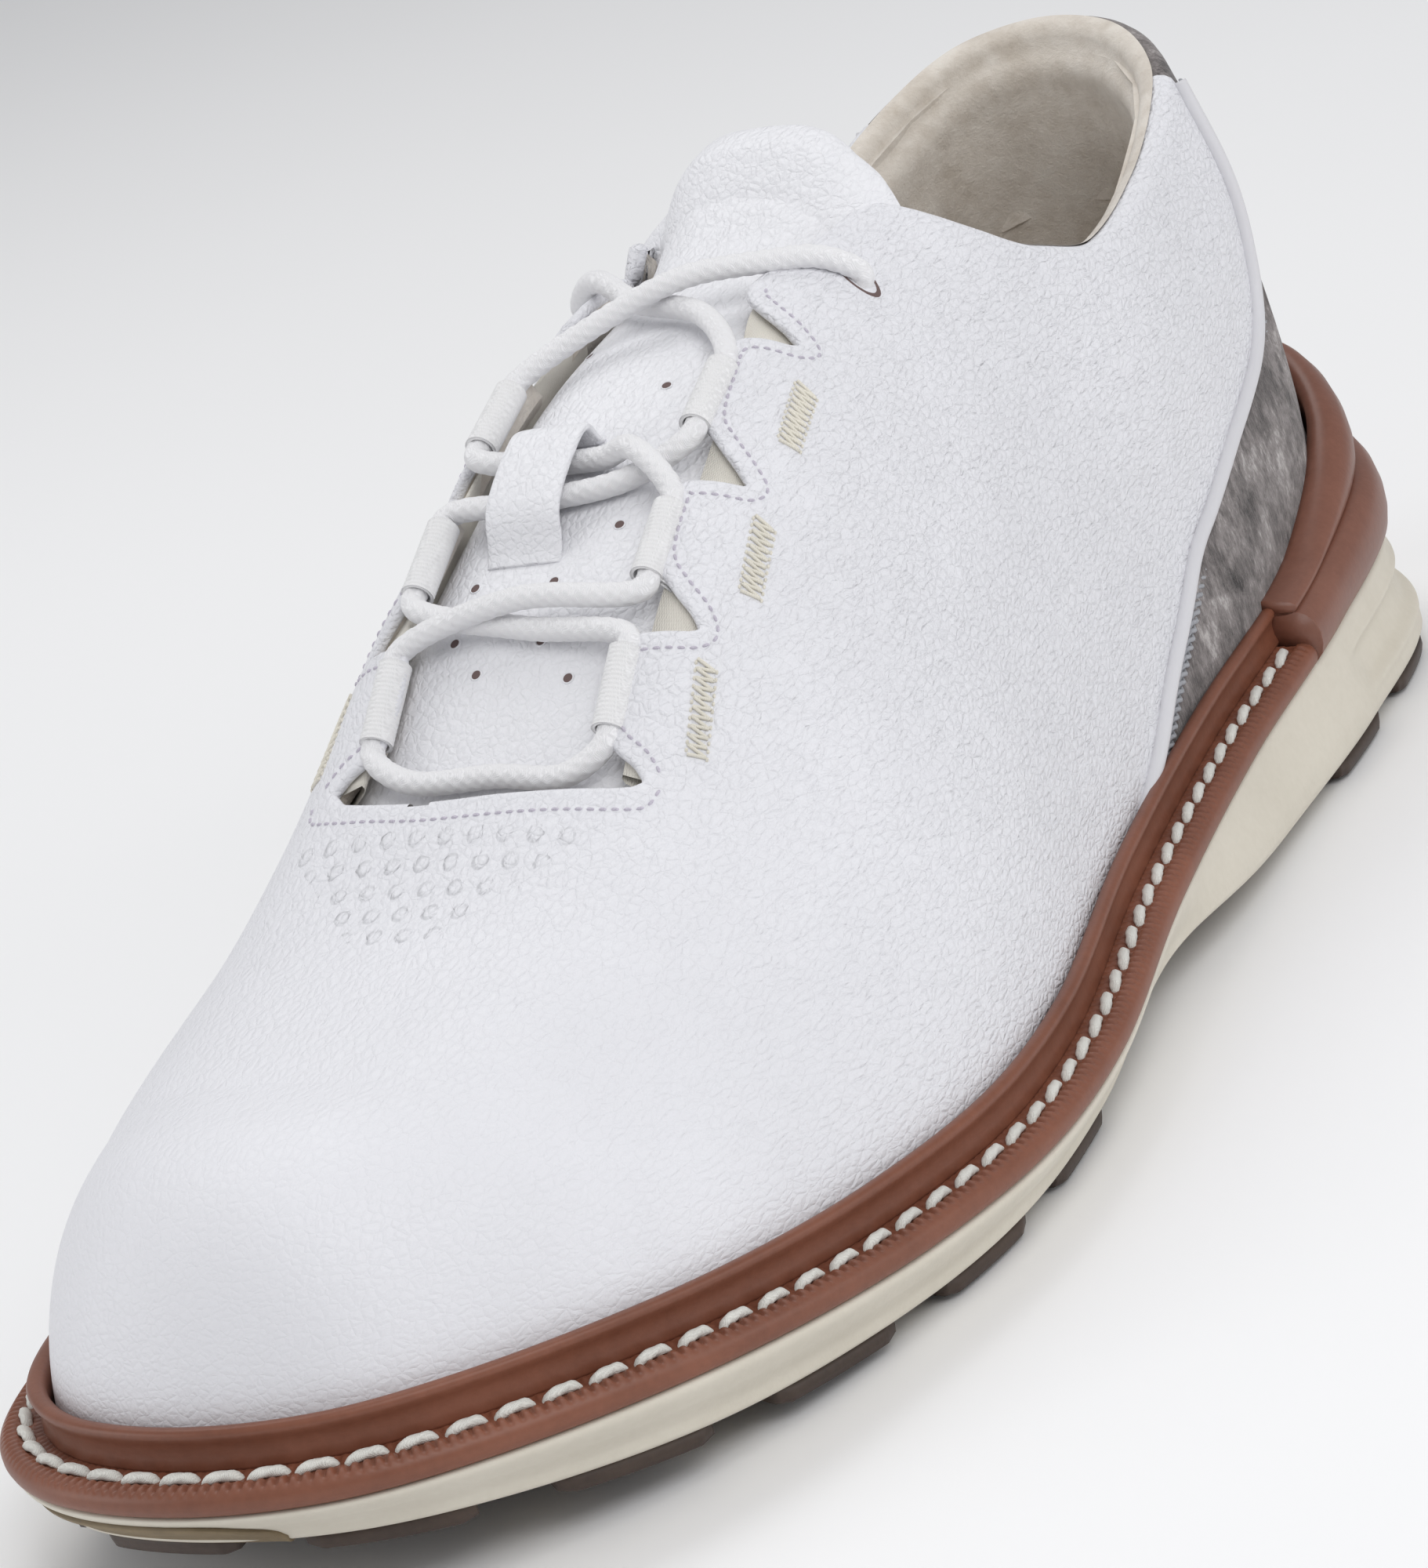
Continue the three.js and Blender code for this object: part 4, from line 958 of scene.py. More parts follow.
def make_facing_stitches():
    parts = []
    for side in (1, -1):
        q = facing_line(side, -59.2, 12, 1.5)
        q = evenly(q, 700)
        p, n = on_top(q)
        parts.append(sew(p, n, 1.5, 0.98, 0.21, 0.04))
    # throat front edge, from side to side
    front = [(23.3, -59.9), (22.2, -62.6), (18.4, -64.0), (10, -65.1), (0, -65.7), (-8, -65.8),
             (-15, -65.3), (-20.8, -64.5), (-25.6, -62.6), (-26.6, -59.9)]
    p, n = on_top(evenly(catmull(front, 30, closed=False), 260))
    parts.append(sew(p, n, 1.5, 0.98, 0.21, 0.04))
    v, f = merge(parts)
    rear(new_object("eyestay_stitches", v, f, LILAC_THREAD))


make_facing_stitches()


def make_bar_tacks():
    for side, name in ((1, "lateral"), (-1, "medial")):
        for k, (y, x0) in enumerate(((-50.0, 25.6), (-29.5, 26.6), (-7.0, 24.4))):
            centre = x0 if side > 0 else -2.4 - x0
            ys = np.linspace(y - 5.2, y + 5.2, 21)
            # the inner side is steeper, so the same width there covers less of the plan
            here, there = (np.abs(top_normal(x + 0 * ys, ys)[:, 2]) for x in (centre, x0))
            share = here / there
            zig = np.where(np.arange(21) % 2 == 0, -1.05, 1.05)
            lean = (ys - y) * -0.12
            rows = [centre + side * share * (off + lean) for off in (zig, -1.2, 1.2)]
            p, n = on_top(evenly(np.stack([rows[0], ys], 1), 21 * 12), 0.12)
            parts = [tube(p, 0.25, 8)]
            for row in rows[1:]:
                p2, n2 = on_top(np.stack([row, ys], 1), 0.08)
                parts.append(sew(p2, n2, 1.04, 0.5, 0.2, 0.0, 6, 5))
            v, f = merge(parts)
            obj = new_object(f"bar_tack_stitch_{name}_{k + 1}", v, f, CREAM_THREAD)
            rear(obj, f"bar_tack_{name}_{k + 1}")


make_bar_tacks()

# ------------------------------------------------------------------ tongue
TONGUE_HALF = [(0.0, 29), (0.2, 28), (0.45, 25), (0.60, 21.0), (0.72, 20.0), (0.82, 25.0), (0.9, 28.5),
               (1.0, 29.5)]


def smooth_step(t):
    t = np.clip(t, 0, 1)
    return t * t * (3 - 2 * t)


TONGUE_HALF_MEDIAL = [(0.0, 29), (0.2, 28), (0.45, 25), (0.60, 21.0), (0.72, 19.5), (0.82, 17.5),
                      (0.9, 20.0), (1.0, 21.0)]


def tongue_point(s, v, depth):
    half = np.where(s > 0, table(TONGUE_HALF, v), table(TONGUE_HALF_MEDIAL, v))
    y_top = 50.6 - np.where(s > 0, 12.0 * np.abs(s) ** 2.8, 9.0 * np.abs(s) ** 3.2)
    y = -74 + (y_top + 74) * v
    x = spine_x(y) * 0.45 + 0.2 - 5.6 * np.clip((v - 0.7) / 0.2, 0, 1) + half * s
    # just below the rim the medial edge draws in, so that it passes inside the quarter
    drawn = smooth_step((y - 10) / 10) * (1 - smooth_step((y - 40) / 5))
    x = x + np.where(s < 0, 3.4 * s ** 2 * drawn, 0)
    near = np.minimum(y, 44.0)
    lean = np.where(x >= spine_x(near), 15.5, 14.0)
    reach = np.abs(x - spine_x(near))
    kept = np.minimum(reach, lean + 0.25 * np.maximum(reach - lean, 0))
    held = spine_x(near) + np.sign(x - spine_x(near)) * kept
    # the lateral edge lifts early; the medial edge stays inside the quarter up to the rim
    free = np.where(s > 0, np.clip((v - 0.74) / 0.1, 0, 1), np.clip((y - 35.0) / 9.0, 0, 1))
    free = smooth_step(free)
    xs = x * (1 - free) + held * free
    p = top_point(xs, near, depth).copy()
    n = top_normal(xs, near, depth)
    p[..., 0] = x
    p[..., 2] -= free * np.where(x > spine_x(near), 0.3, 0.1) * np.abs(x - xs)
    extra = np.maximum(y - 44.0, 0)
    p[..., 1] += extra * 0.8
    p[..., 2] += extra * 0.35
    return p, n


def make_tongue():
    rows, cols = 150, 61
    v = np.linspace(0, 1, rows)[:, None] * np.ones((1, cols))
    s = np.linspace(-1, 1, cols)[None, :] * np.ones((rows, 1))
    tip = np.clip(1 - np.clip((v - 0.93) / 0.07, 0, 1) ** 3, 0, 1) ** 0.5
    body = np.clip(1 - np.abs(s) ** 7, 0, 1) ** 0.5 * tip
    seam = 0.4 * np.exp(-((v - 0.9) / 0.006) ** 2)
    swell = 0.5 * np.exp(-((v - 0.95) / 0.03) ** 2)
    p, n = tongue_point(s, v, 5.0)
    upper = p + n * (-1.6 + 1.6 * body - seam + swell)[..., None]
    lower = p - n * (1.6 + 1.9 * body)[..., None]
    obj = new_object("tongue_leather", upper.reshape(-1, 3), grid(rows, cols), TONGUE_LEATHER)
    bends(obj, "tongue")
    ring = np.concatenate([upper[:, :1], lower, upper[:, -1:]], 1)
    v2 = ring.reshape(-1, 3)
    f2 = [face[::-1] for face in grid(rows, cols + 2)]
    # close the free end
    end_u, end_l = upper[-1], lower[-1]
    base = len(v2)
    v2 = np.vstack([v2, end_u, end_l])
    f2 += [(base + j, base + j + 1, base + cols + j + 1, base + cols + j) for j in range(cols - 1)]
    obj = weld(new_object("tongue_backing", v2, f2, LINING), 4e-5)
    bends(obj, "tongue_lining")


make_tongue()


def make_perforations():
    spots = [(5.1, -3.4), (6.6, -25.8), (-0.1, -33.5), (-11.9, -33.2), (5.7, -45.6), (-7.9, -44.5),
             (0.6, -41.2), (-12.4, -40.4), (-11, 6.5), (-13.0, -9.0)]
    discs, rims = [], []
    for x, y in spots:
        c = top_point(x, y, 5.0)
        n = top_normal(x, y, 5.0)
        a = np.cross(n, [0, 1, 0])
        a /= np.linalg.norm(a)
        b = np.cross(n, a)
        ang = np.linspace(0, 2 * np.pi, 20, endpoint=False)
        # a dark disc just above the leather: painted shade in place of the perforation's hollow
        ring = c + np.outer(np.cos(ang), a) * 0.62 + np.outer(np.sin(ang), b) * 0.62 + n * 0.05
        discs.append((ring, [tuple(range(20))]))
        path = c + np.outer(np.cos(ang), a) * 0.74 + np.outer(np.sin(ang), b) * 0.74
        rims.append(torus(path, 0.13))
    v, f = merge(discs)
    rear(new_object("tongue_perforation_shade", v, f, HOLE_SHADE))
    v, f = merge(rims)
    rear(new_object("tongue_perforation_rims", v, f, TONGUE_LEATHER))


def torus(path, radius, sides=8):
    n = len(path)
    t = np.roll(path, -1, 0) - np.roll(path, 1, 0)
    t /= np.linalg.norm(t, axis=1)[:, None]
    c = path.mean(0)
    a = path - c
    a /= np.linalg.norm(a, axis=1)[:, None]
    b = np.cross(t, a)
    ang = np.linspace(0, 2 * np.pi, sides, endpoint=False)
    v = (path[:, None] + np.cos(ang)[None, :, None] * a[:, None] * radius
         + np.sin(ang)[None, :, None] * b[:, None] * radius)
    return v.reshape(-1, 3), grid(n, sides, close_cols=True, close_rows=True)


make_perforations()

# ------------------------------------------------------------------ lace
LACE_R = 1.52


def loop_centre(side, k):
    lo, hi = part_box(f"lace_loop_{side}_{k + 1}")
    return (np.array(lo) + np.array(hi)) / 2 / MM + CENTRE


def loop_axis(c):
    rise = (top_point(c[0], c[1] + 4)[2] - top_point(c[0], c[1] - 4)[2]) / 8
    d = np.array([0, 1, rise])
    return d / np.linalg.norm(d)


def hug(side):
    """The webbing pulls the lace in against the edge of the tab."""
    return np.array([1.2 if side == "lateral" else -1.2, 0, -0.5])


def on_axis(side, k, along):
    c = loop_centre(side, k)
    return c + loop_axis(c) * along + hug(side)


def over(x, y, lift):
    return top_point(x, y, 5.0) + np.array([0, 0, lift])


def eyelet(x, along, y=23.6):
    c = top_point(x, y)
    s = 1 if x > 0 else -1
    return c + np.array([s * math.sin(0.5), 0, math.cos(0.5)]) * along


UNDER = 2.2
ABOVE = UNDER + 3.9


def climb(side, k):
    return [on_axis(side, k, a) for a in (-7.4, -3, 3, 7.4)]


def make_lace():
    P = np.array
    lateral_tail = [P([26.5, 84, 35]), P([26.5, 66, 34]), P([27, 48, 42]), P([26, 36, 60]),
                    P([20.8, 27, 78]), eyelet(21.3, -7.5)]
    medial_tail = [P([-23, 84, 35]), P([-23, 66, 34]), P([-24, 48, 42]), P([-22.2, 36, 60]),
                   P([-17.6, 27, 78]), eyelet(-20, -7.5)]
    route = (lateral_tail
             + [eyelet(21.3, -2), eyelet(21.3, 0.7), P([18.0, 20.9, 101.5]), P([12, 16.4, 103.2]),
                over(3, 11, ABOVE), over(-8, 5, UNDER + 2)]
             + climb("medial", 2)[::-1]
             + [over(-7.5, -18, UNDER), over(2.5, -18.6, UNDER + 0.3), over(8.5, -21, ABOVE)]
             + climb("lateral", 1)[::-1]
             + [over(-1, -41.5, ABOVE)] + climb("medial", 0)[::-1]
             + [over(-12.5, -58.4, UNDER + 0.4), over(0, -58.2, UNDER), over(10, -58.4, UNDER + 0.4)]
             + climb("lateral", 0) + [over(-1, -41.5, UNDER)] + climb("medial", 1)
             + [over(-6.5, -24.4, UNDER + 0.4), over(7, -21.4, UNDER)] + climb("lateral", 2)
             + [over(6, 8, UNDER + 0.6), over(-6, 13, UNDER + 0.6), P([-13, 17.5, 103.4]),
                P([-17.4, 20.8, 102]), eyelet(-20, 1.8), eyelet(-20, -2)] + medial_tail[::-1])
    path = catmull(route, 14, closed=False)
    length = np.linalg.norm(np.diff(path, axis=0), axis=1).sum()
    path = evenly(path, int(length / 0.22))

    def braid(ang, s):
        a = np.cos(6 * ang + 2 * np.pi * s / 1.9)
        b = np.cos(6 * ang - 2 * np.pi * s / 1.9)
        return 1 + 0.06 * np.maximum(a, b) - 0.03

    v, f = tube(path, LACE_R, 28, braid)
    rear(new_object("lace_braided", v, f, LACE_CLOTH), "lace")


make_lace()


def make_lace_hole_shade():
    """Painted shade of the punched hole round each end of the lace: a dark ring laid on the leather."""
    ang = np.linspace(0, 2 * np.pi, 28, endpoint=False)
    rings = []
    for x, y in ((21.3, 23.6), (-20.0, 23.6)):
        rows = []
        for r, lift in ((0.9, -0.25), (1.7, 0.02), (2.0, 0.07), (2.1, -0.05)):
            # longer towards the facing, because the lace enters at a slant
            q = np.stack([x - np.sign(x) * 0.3 + np.cos(ang) * r * 1.15, y + np.sin(ang) * r], 1)
            rows.append(on_top(q, lift)[0])
        rings.append((np.stack(rows).reshape(-1, 3), grid(len(rows), 28, close_cols=True)))
    v, f = merge(rings)
    rear(new_object("lace_hole_shade", v, f, HOLE_SHADE))


make_lace_hole_shade()


def make_loops():
    for side, out in (("lateral", 1), ("medial", -1)):
        for k in range(3):
            c = loop_centre(side, k)
            ax = loop_axis(c)
            s = np.linspace(-5.6, 5.6, 110)
            path = c + s[:, None] * ax
            path = path + hug(side) + np.array([out * 0.08, 0, 0.0])
            parts = []
            for r, turn in ((2.1, 1), (1.68, -1)):
                def rib(ang, length, r=r):
                    return 1 + 0.022 * np.cos(2 * np.pi * length / 0.62) * (1 if r > 2 else 0)
                v, f = tube(path, r, 26, rib, caps=False)
                parts.append((v, f if turn > 0 else [q[::-1] for q in f]))
            v, f = merge(parts)
            n = 26
            rows = len(path)
            off = rows * n
            for j in range(n):
                a, b = j, (j + 1) % n
                f.append((a, b, off + b, off + a))
                e = (rows - 1) * n
                f.append((e + b, e + a, off + e + a, off + e + b))
            # the tail of the webbing, sewn in under the facing
            ys = np.linspace(-5.4, 5.4, 60)
            root = c + ys[:, None] * ax
            w = np.linspace(0, 1, 8)
            tail = []
            for depth in (0.0, 0.8):
                tx = root[:, None, 0] + out * (2.2 + w[None, :] * 5.5)
                ty = root[:, None, 1] * np.ones_like(tx)
                q = top_point(tx, ty, 1.7)
                lift = np.cos(np.minimum(w * 2.5, 1) * np.pi / 2)[None, :] * 1.3 - depth
                q[..., 2] += lift + 0.05 * np.cos(2 * np.pi * ys / 0.75)[:, None]
                tail.append(q)
            tv = np.concatenate([tail[0], tail[1][:, ::-1]], 1)
            v, f = merge([(v, f), (tv.reshape(-1, 3), grid(len(ys), 16, close_cols=True))])
            obj = new_object(f"webbing_loop_{side}_{k + 1}", v, f, WEBBING)
            rear(obj, f"lace_loop_{side}_{k + 1}")


make_loops()


def make_keeper():
    lift = UNDER + 2.5
    line = [(-30.6, -0.3), (-29.6, 0.4), (-28.8, 1.6), (-27.8, lift - 1.0), (-26.2, lift),
            (-21, lift + 0.4), (-16.4, lift), (-14.9, lift - 1.0), (-13.9, 1.6), (-13.1, 0.4), (-12.1, -0.3)]
    mid = catmull([over(-5.6, y, up) for y, up in line], 8, closed=False)
    mid = evenly(mid, 110)
    t = np.gradient(mid, axis=0)
    t /= np.linalg.norm(t, axis=1)[:, None]
    side = np.array([1.0, 0, 0])
    n = np.cross(side, t)
    n /= np.linalg.norm(n, axis=1)[:, None]
    prof = []
    for a in np.linspace(0, 2 * np.pi, 28, endpoint=False):
        prof.append((5.4 * np.sign(math.cos(a)) * abs(math.cos(a)) ** 0.35,
                     0.62 * np.sign(math.sin(a)) * abs(math.sin(a)) ** 0.6))
    v = np.stack([mid + side * x + n * z for x, z in prof], 1)
    f = grid(len(mid), 28, close_cols=True)
    f.append(tuple(range(28))[::-1])
    f.append(tuple(range(len(mid) * 28 - 28, len(mid) * 28)))
    rear(new_object("tongue_keeper_strip", v.reshape(-1, 3), f, TONGUE_LEATHER),
         "tongue_keeper")


make_keeper()

# ------------------------------------------------------------------ welt, rand, stitches
def on_welt(us, inset, rise):
    inset = np.asarray(inset, float) * np.ones_like(us)
    return inset, welt_z(edge(us, inset)[:, 1]) + rise


def section_of(rows):
    def section(us):
        ins, zs = zip(*[on_welt(us, i(us) if callable(i) else i, r(us) if callable(r) else r)
                        for i, r in rows])
        return np.stack(ins, 1), np.stack(zs, 1)
    return section


def ribs(us):
    """Fine notches pinked into the outer top edge of the welt."""
    d = us * LENGTH
    return (0.5 + 0.5 * np.cos(2 * np.pi * d / 1.45)) ** 2


def make_welt():
    rows = [(7.6, 0.1), (2.0, 0.05), (0.9, 0.2), (0.25, 0.7), (0.0, 1.4), (0.0, 2.1),
            (0.25, 2.8), (0.8, 3.3), (lambda u: 1.3 + ribs(u) * 0.3, lambda u: 3.7 - ribs(u) * 0.5),
            (2.0, lambda u: 3.8 - ribs(u) * 0.6), (2.5, lambda u: 3.72 - ribs(u) * 0.45), (2.75, 3.35),
            (4.3, 3.35), (4.55, lambda u: 3.6 - ribs(u) * 0.3), (5.3, lambda u: 3.65 - ribs(u) * 0.5),
            (5.8, 3.6), (7.6, 3.6)]
    v, f = sweep(WELT_END, 1 - WELT_END, 3200, section_of(rows))
    obj = new_object("welt", v, f, BROWN)
    bends(obj, "welt_toe", "welt_rear_lateral", "welt_rear_medial")
    rows = [(7.4, 3.4), (5.75, 3.4), (5.6, 3.9), (5.95, 5.0), (6.0, 6.2), (5.75, 7.1), (5.3, 7.7),
            (5.15, 8.3), (5.45, 8.8), (6.1, 9.0), (6.8, 8.85), (7.4, 8.3)]
    v, f = sweep(WELT_END - 0.006, 1 - WELT_END + 0.006, 900, section_of(rows))
    obj = new_object("rand_wall", v, f, BROWN)
    bends(obj, "rand_toe", "rand_rear_lateral", "rand_rear_medial")


make_welt()


def make_welt_stitches():
    us = np.linspace(WELT_END + 0.002, 1 - WELT_END - 0.002, 3000)
    ins, z = on_welt(us, 3.5, 3.3)
    p = np.concatenate([edge(us, ins), z[:, None]], 1)
    d = np.r_[0, np.cumsum(np.linalg.norm(np.diff(p, axis=0), axis=1))]
    pitch = 5.7
    count = int(d[-1] / pitch)
    parts = []
    for k in range(count):
        mid = (k + 0.5) * d[-1] / count
        s = np.linspace(mid - 2.45, mid + 2.45, 15)
        q = np.stack([np.interp(s, d, p[:, c]) for c in range(3)], 1)
        t = q[-1] - q[0]
        t /= np.linalg.norm(t)
        side = np.cross([0, 0, 1], t)
        w = np.linspace(-1, 1, 15)
        q = q + np.outer(w * 0.42, side)
        q[:, 2] += 0.62 - 1.15 * np.abs(w) ** 4
        r = 0.74 * (1 - 0.5 * np.abs(w) ** 5)
        twist = lambda ang, length: 1 + 0.1 * np.cos(3 * ang + 2 * np.pi * length / 2.2)
        parts.append(tube(q, r, 15, twist, flat=(1.0, 0.85)))
    v, f = merge(parts)
    obj = new_object("welt_stitches", v, f, THREAD)
    bends(obj, "welt_thread_toe", "welt_thread_lateral", "welt_thread_medial")


make_welt_stitches()


def cup_rise(us):
    away = np.clip((np.abs(us) / 0.134 - 0.2) / 0.8, 0, 1)
    return 1 - 0.66 * away * away * (3 - 2 * away)


def make_heel_cup():
    end = 0.1335

    def lower(us):
        tall = 13 * (0.42 + 0.58 * cup_rise(us))
        prof = [(7.2, 0.0), (2.0, 0.0), (0.6, 0.04), (-0.3, 0.16), (-0.75, 0.34), (-0.8, 0.55),
                (-0.3, 0.76), (0.7, 0.91), (2.0, 0.985), (3.0, 1.0), (7.2, 1.0)]
        ins = np.stack([np.full_like(us, i) for i, _ in prof], 1)
        z = np.stack([welt_z(edge(us, 4 + 0 * us)[:, 1]) + tall * r for _, r in prof], 1)
        return ins, z

    def upper(us):
        base = welt_z(edge(us, 4 + 0 * us)[:, 1])
        z0 = base + 13 * (0.42 + 0.58 * cup_rise(us)) - 0.4
        top = base + RAND_RISE + 17.5 * (cup_rise(us) - 0.34) / 0.66
        tall = np.maximum(top - z0, 2.4)
        prof = [(7.6, 0.0), (3.6, 0.0), (2.6, 0.07), (1.95, 0.2), (1.75, 0.38), (1.95, 0.58),
                (2.7, 0.78), (3.9, 0.92), (5.0, 0.99), (6.2, 1.0), (7.6, 0.96)]
        ins = np.stack([np.full_like(us, i) for i, _ in prof], 1)
        z = np.stack([z0 + tall * r for _, r in prof], 1)
        return ins, z

    for name, fn in (("heel_cup_lower_lobe", lower), ("heel_cup_upper_lobe", upper)):
        v, f = sweep(-end, end, 420, fn)
        obj = new_object(name, v, f, BROWN_CUP)
        rear(obj, "heel_cup_lower" if "lower" in name else "heel_cup_upper")


make_heel_cup()

# ------------------------------------------------------------------ midsole and outsole
LUG = 1.6


def ground_z(y):
    toe = np.maximum(0, (-60 - y) / 90.0)
    return 10 * toe * toe + 3.2 * np.exp(-(((y - 12) / 26.0) ** 2))


def bottom_inset(us):
    y = edge(us, 0 * us)[:, 1]
    return 4.9 - 6.5 / (1 + np.exp(-(y - 15) / 8))


def midsole_side(us, height):
    """Inset of the midsole's side at a height above the tread."""
    b = bottom_inset(us)
    y = edge(us, 4 + 0 * us)[:, 1]
    v = np.clip(height / (welt_z(y) - ground_z(y) - LUG - 0.5), 0, 1)
    side = table([(0, 0.0), (0.25, 0.05), (0.6, 0.6), (0.92, 1.0), (1, 1.0)], v)
    return b * (1 - side) + 0.8 * side


def make_midsole():
    def ring(v):
        def inset(us):
            b = bottom_inset(us)
            side = table([(0, 0.0), (0.25, 0.05), (0.6, 0.6), (0.92, 1.0), (1, 1.0)], v)
            ins = b * (1 - side) + 0.8 * side
            ins = ins + 1.9 * max(0.0, 1 - v / 0.1) ** 2 + 0.6 * max(0.0, (v - 0.95) / 0.05) ** 2
            f = folded(us)
            span = 1 / (1 + np.exp((f - 0.113) / 0.0022))
            groove = np.exp(-(abs(v - 0.5) / 0.17) ** 6)
            lip = np.exp(-((abs(v - 0.5) - 0.23) / 0.04) ** 2)
            return ins + span * (1.5 * groove - 0.25 * lip)

        def z(y, us):
            lo = ground_z(y) + LUG + 0.5
            return lo + (welt_z(y) - lo) * v
        return inset, z
    vs = np.r_[0, 0.02, 0.05, 0.1, np.linspace(0.15, 0.95, 33), 0.98, 1]
    v, f = stack([ring(x) for x in vs])
    obj = new_object("midsole", v, f, CREAM)
    bends(obj, "midsole_forefoot", "midsole_heel_and_arch")


make_midsole()


def make_outsole():
    rings = []
    for extra, r in ((6.5, 0.0), (4.6, 0.0), (3.8, 0.25), (3.3, 0.8), (3.1, 1.7), (3.1, 2.35)):
        rings.append((lambda us, e=extra: bottom_inset(us) + e,
                      lambda y, us, r=r: ground_z(y) + LUG + r))
    v, f = stack(rings)
    # olive bumper wrapped up over the front of the toe, flush with the midsole
    def bumper(us):
        prof = [(5.0, 0.2), (2.0, 0.0), (0.9, 0.35), (0.35, 1.1), (0.1, 2.6), (0.12, 4.0),
                (0.5, 4.6), (2.4, 4.7)]
        ends = np.clip(np.minimum(us - 0.488, 0.568 - us) / 0.016, 0, 1)
        tall = 0.3 + 0.7 * ends * (2 - ends)
        y = edge(us, 4 + 0 * us)[:, 1]
        ins = np.stack([midsole_side(us, r * tall) + i - 0.25 for i, r in prof], 1)
        z = np.stack([ground_z(y) + LUG + r * tall for _, r in prof], 1)
        return ins, z
    v, f = merge([(v, f), sweep(0.488, 0.568, 200, bumper)])
    obj = new_object("outsole_plate", v, f, OLIVE)
    bends(obj, "outsole_toe", "outsole_ball", "outsole_arch", "outsole_heel")

    def edge_x(y, lateral):
        p = edge(ray_at(np.array([y]), lateral), np.array([0.0]))
        return float(p[0][0])
    parts = []
    rows = [(-128, 0, 5, 14), (-112, 0.25, 5, 14), (-96, -0.1, 5, 14), (-80, 0.15, 6, 13),
            (-62, 0.2, 6, 13), (-44, -0.2, 6, 13), (-24, 0.1, 6, 13),
            (56, 0.1, 4, 12), (76, -0.1, 4, 12), (98, 0.1, 4, 12), (120, 0, 4, 12)]
    for y, shift, per, margin in rows:
        left, right = edge_x(y, False) + margin, edge_x(y, True) - margin
        for i in range(per):
            x = left + (right - left) * (i + 0.5 + shift) / per
            if not left <= x <= right:
                continue
            ring = []
            for r, h in ((5.9, LUG + 0.4), (5.5, LUG - 0.35), (4.9, 0.3), (4.5, 0.05), (3.9, 0.0),
                         (0.01, 0.35)):
                ang = np.linspace(0, 2 * np.pi, 36, endpoint=False)
                hexa = 1 / np.maximum(np.cos((ang + math.pi / 6) % (math.pi / 3) - math.pi / 6), 0.5)
                rr = r * (0.25 + 0.75 * hexa)
                px, py = x + rr * np.cos(ang), y + rr * np.sin(ang)
                ring.append(np.stack([px, py, ground_z(py) + h], 1))
            v = np.vstack(ring)
            parts.append((v, [q[::-1] for q in grid(len(ring), 36, close_cols=True)]))
    def bar(us):
        prof = [(6.4, 2.0), (6.0, 0.4), (5.5, 0.0), (1.3, 0.0), (0.8, 0.3), (0.55, 1.2), (0.6, 2.3)]
        y = edge(us, 4 + 0 * us)[:, 1]
        ends = np.clip(np.minimum(us - us[0], us[-1] - us) / 0.003, 0, 1)[:, None]
        ins = np.stack([bottom_inset(us) + i for i, _ in prof], 1)
        z = np.stack([ground_z(y) + h for _, h in prof], 1)
        middle = bottom_inset(us)[:, None] + 3.4
        return middle + (ins - middle) * (0.8 + 0.2 * ends), z + (1 - ends) * 0.5
    for u0, u1 in ((0.285, 0.312), (0.326, 0.353), (0.367, 0.396), (0.41, 0.44), (0.454, 0.486),
                   (0.5, 0.534), (0.548, 0.578), (0.592, 0.62), (0.634, 0.661), (0.675, 0.702),
                   (0.03, 0.055), (0.07, 0.097), (0.112, 0.14), (0.86, 0.888), (0.903, 0.93),
                   (0.945, 0.97), (0.985, 1.015)):
        parts.append(sweep(u0, u1, 40, bar))
    v, f = merge(parts)
    obj = new_object("outsole_lugs", v, f, DARK_LUG)
    bends(obj)


make_outsole()


def make_insole():
    def inset(extra):
        return lambda us: np.full_like(us, INSET + 4.6 + extra)

    def level(rise, cup):
        return lambda y, us: welt_z(y) + 5.1 + rise + cup / (1 + np.exp(-(y + 15) / 8))
    rings = [(inset(1.4), level(0, 0)), (inset(1.0), level(2.4, 1.0)), (inset(1.1), level(4.2, 1.7)),
             (inset(1.9), level(4.7, 1.8)), (inset(3.5), level(4.6, 1.2)), (inset(7), level(4.5, 0.4))]
    v, f = stack(rings)
    obj = new_object("insole_cover", v, f, INSOLE)
    bends(obj, "insole_rear", "insole_toe")


make_insole()

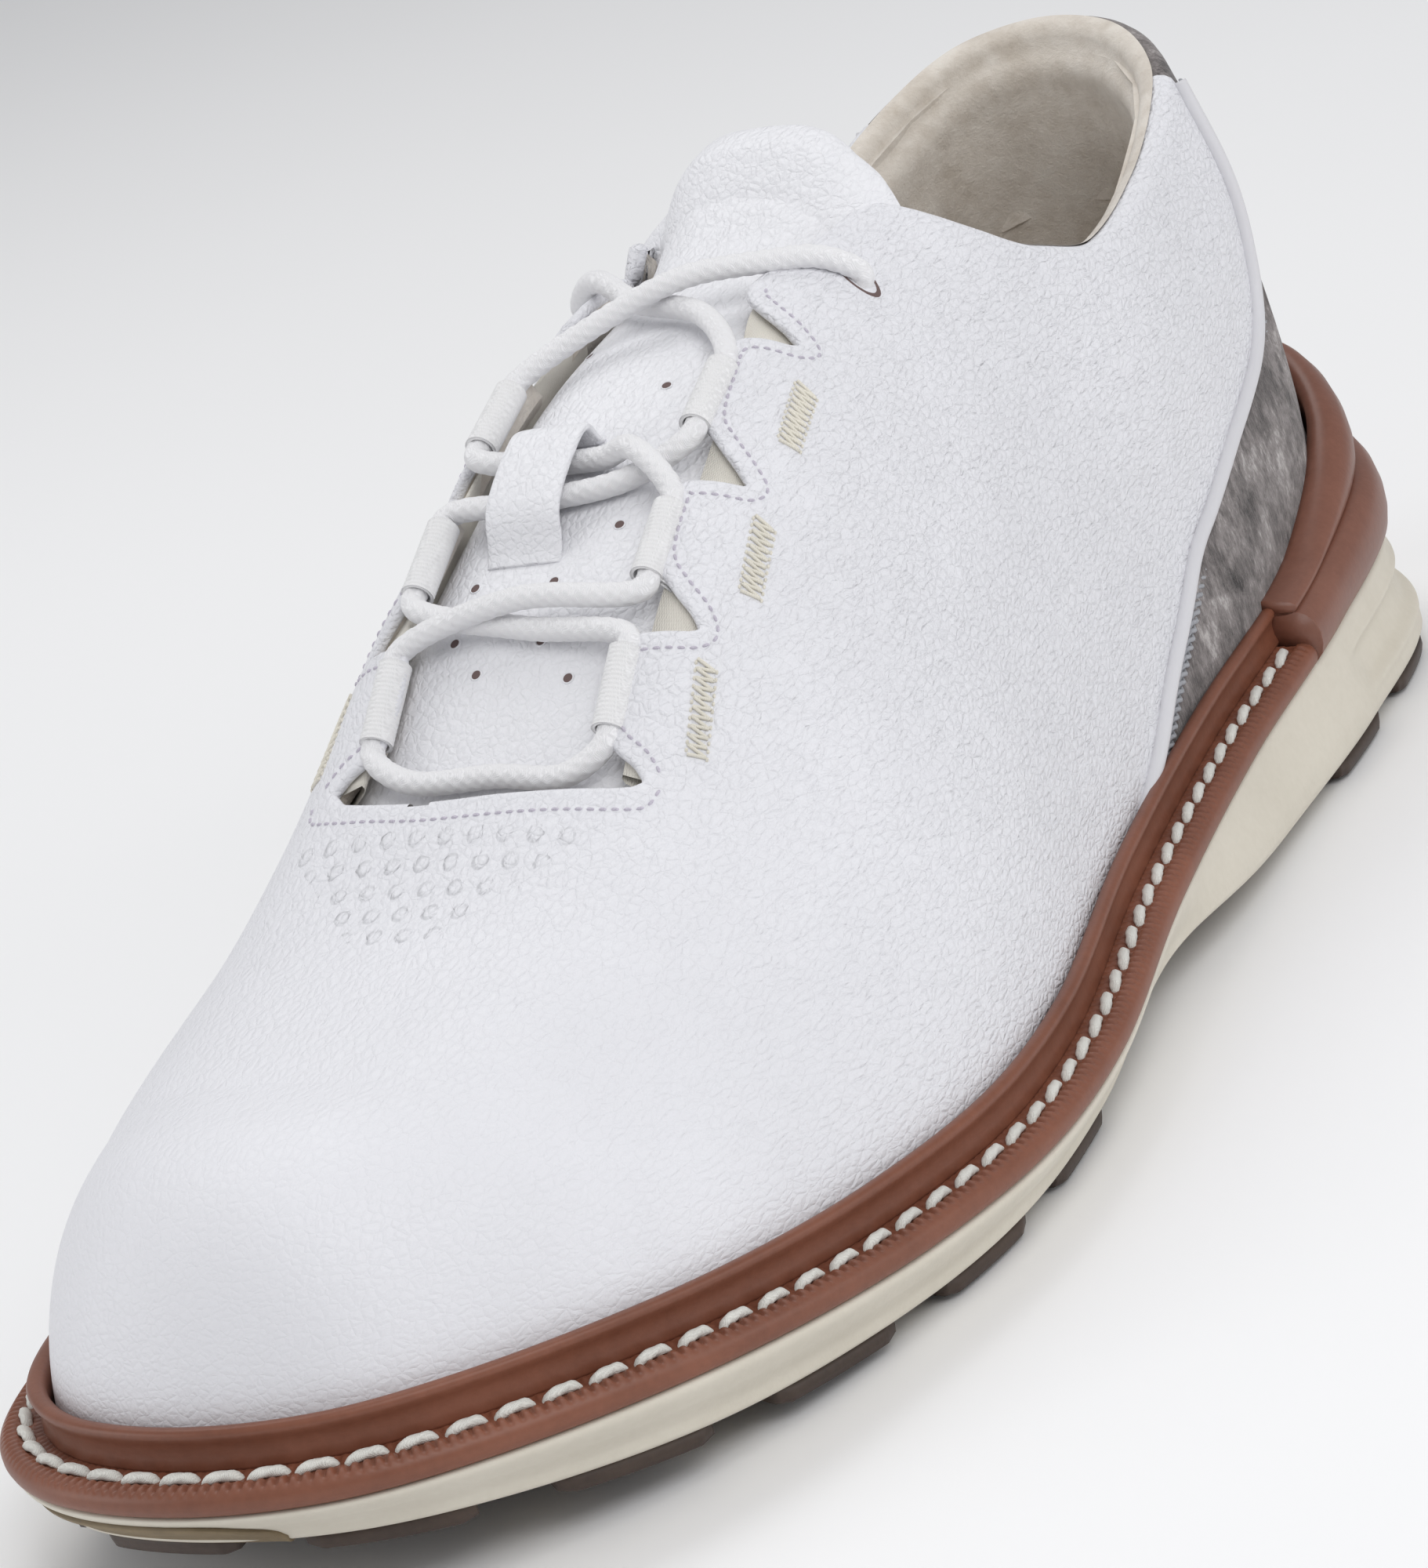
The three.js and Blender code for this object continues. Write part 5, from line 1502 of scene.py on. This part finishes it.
# ------------------------------------------------------------------ CAD nodes that stay
HIDDEN = {"collar_padding": LINING, "heel_counter": BOARD, "toe_puff": BOARD, "shank": None,
          "filler_rear": BOARD, "filler_toe": BOARD, "insole_board_rear": BOARD,
          "insole_board_toe": BOARD, "aglet_lateral": None, "aglet_medial": None}
STEEL = material("shank_steel", (0.45, 0.46, 0.48), 0.35)
STEEL.node_tree.nodes["Principled BSDF"].inputs["Metallic"].default_value = 1.0
set_rough(STEEL, noise(STEEL, 300.0, 3), 0.28, 0.45)
TIP = material("aglet_plastic", (0.78, 0.78, 0.80), 0.25, coat=0.4)
bump(TIP, [(noise(TIP, 700.0, 2), 0.0002, 0.3)])
for name, mat in HIDDEN.items():
    obj = bpy.data.objects.get(name)
    if obj is None:
        continue
    obj.data.materials.clear()
    obj.data.materials.append(mat or (STEEL if name == "shank" else TIP))

# ------------------------------------------------------------------ floor and light
def make_stage():
    m = material("floor", (0.93, 0.93, 0.935), 0.7)
    set_rough(m, noise(m, 8.0, 2), 0.62, 0.75)
    mesh = bpy.data.meshes.new("floor")
    s = 6.0
    mesh.from_pydata([(-s, -s, 0), (s, -s, 0), (s, s, 0), (-s, s, 0)], [], [(0, 1, 2, 3)])
    floor = bpy.data.objects.new("floor", mesh)
    floor.location.z = -0.0004
    mesh.materials.append(m)
    bpy.context.scene.collection.objects.link(floor)
    world = bpy.data.worlds.new("soft_sky")
    bpy.context.scene.world = world
    world.use_nodes = True
    world.node_tree.nodes["Background"].inputs[0].default_value = (0.97, 0.98, 1.0, 1)
    world.node_tree.nodes["Background"].inputs[1].default_value = 0.43

    def area(name, place, aim, size, power, colour=(1, 1, 1)):
        light = bpy.data.lights.new(name, "AREA")
        light.shape = "RECTANGLE"
        light.size, light.size_y = size
        light.energy = power
        light.color = colour
        obj = bpy.data.objects.new(name, light)
        direction = Vector(aim) - Vector(place)
        obj.matrix_world = (Matrix.Translation(place)
                            @ direction.to_track_quat("-Z", "Y").to_matrix().to_4x4())
        bpy.context.scene.collection.objects.link(obj)
    area("key_soft", (0.62, -0.45, 0.95), (0, 0, 0.04), (0.7, 0.7), 5.0)
    area("top_soft", (-0.35, 0.35, 1.0), (0, 0, 0.04), (0.8, 0.6), 3.4)
    area("right_fill", (1.0, 0.1, 0.4), (0, 0, 0.05), (0.7, 0.6), 2.1)
    area("left_fill", (-0.9, -0.6, 0.35), (0, 0, 0.05), (0.6, 0.6), 2.2)
    view = bpy.context.scene.view_settings
    view.view_transform = "Standard"
    view.look = "None"
    view.exposure = 0.0


make_stage()
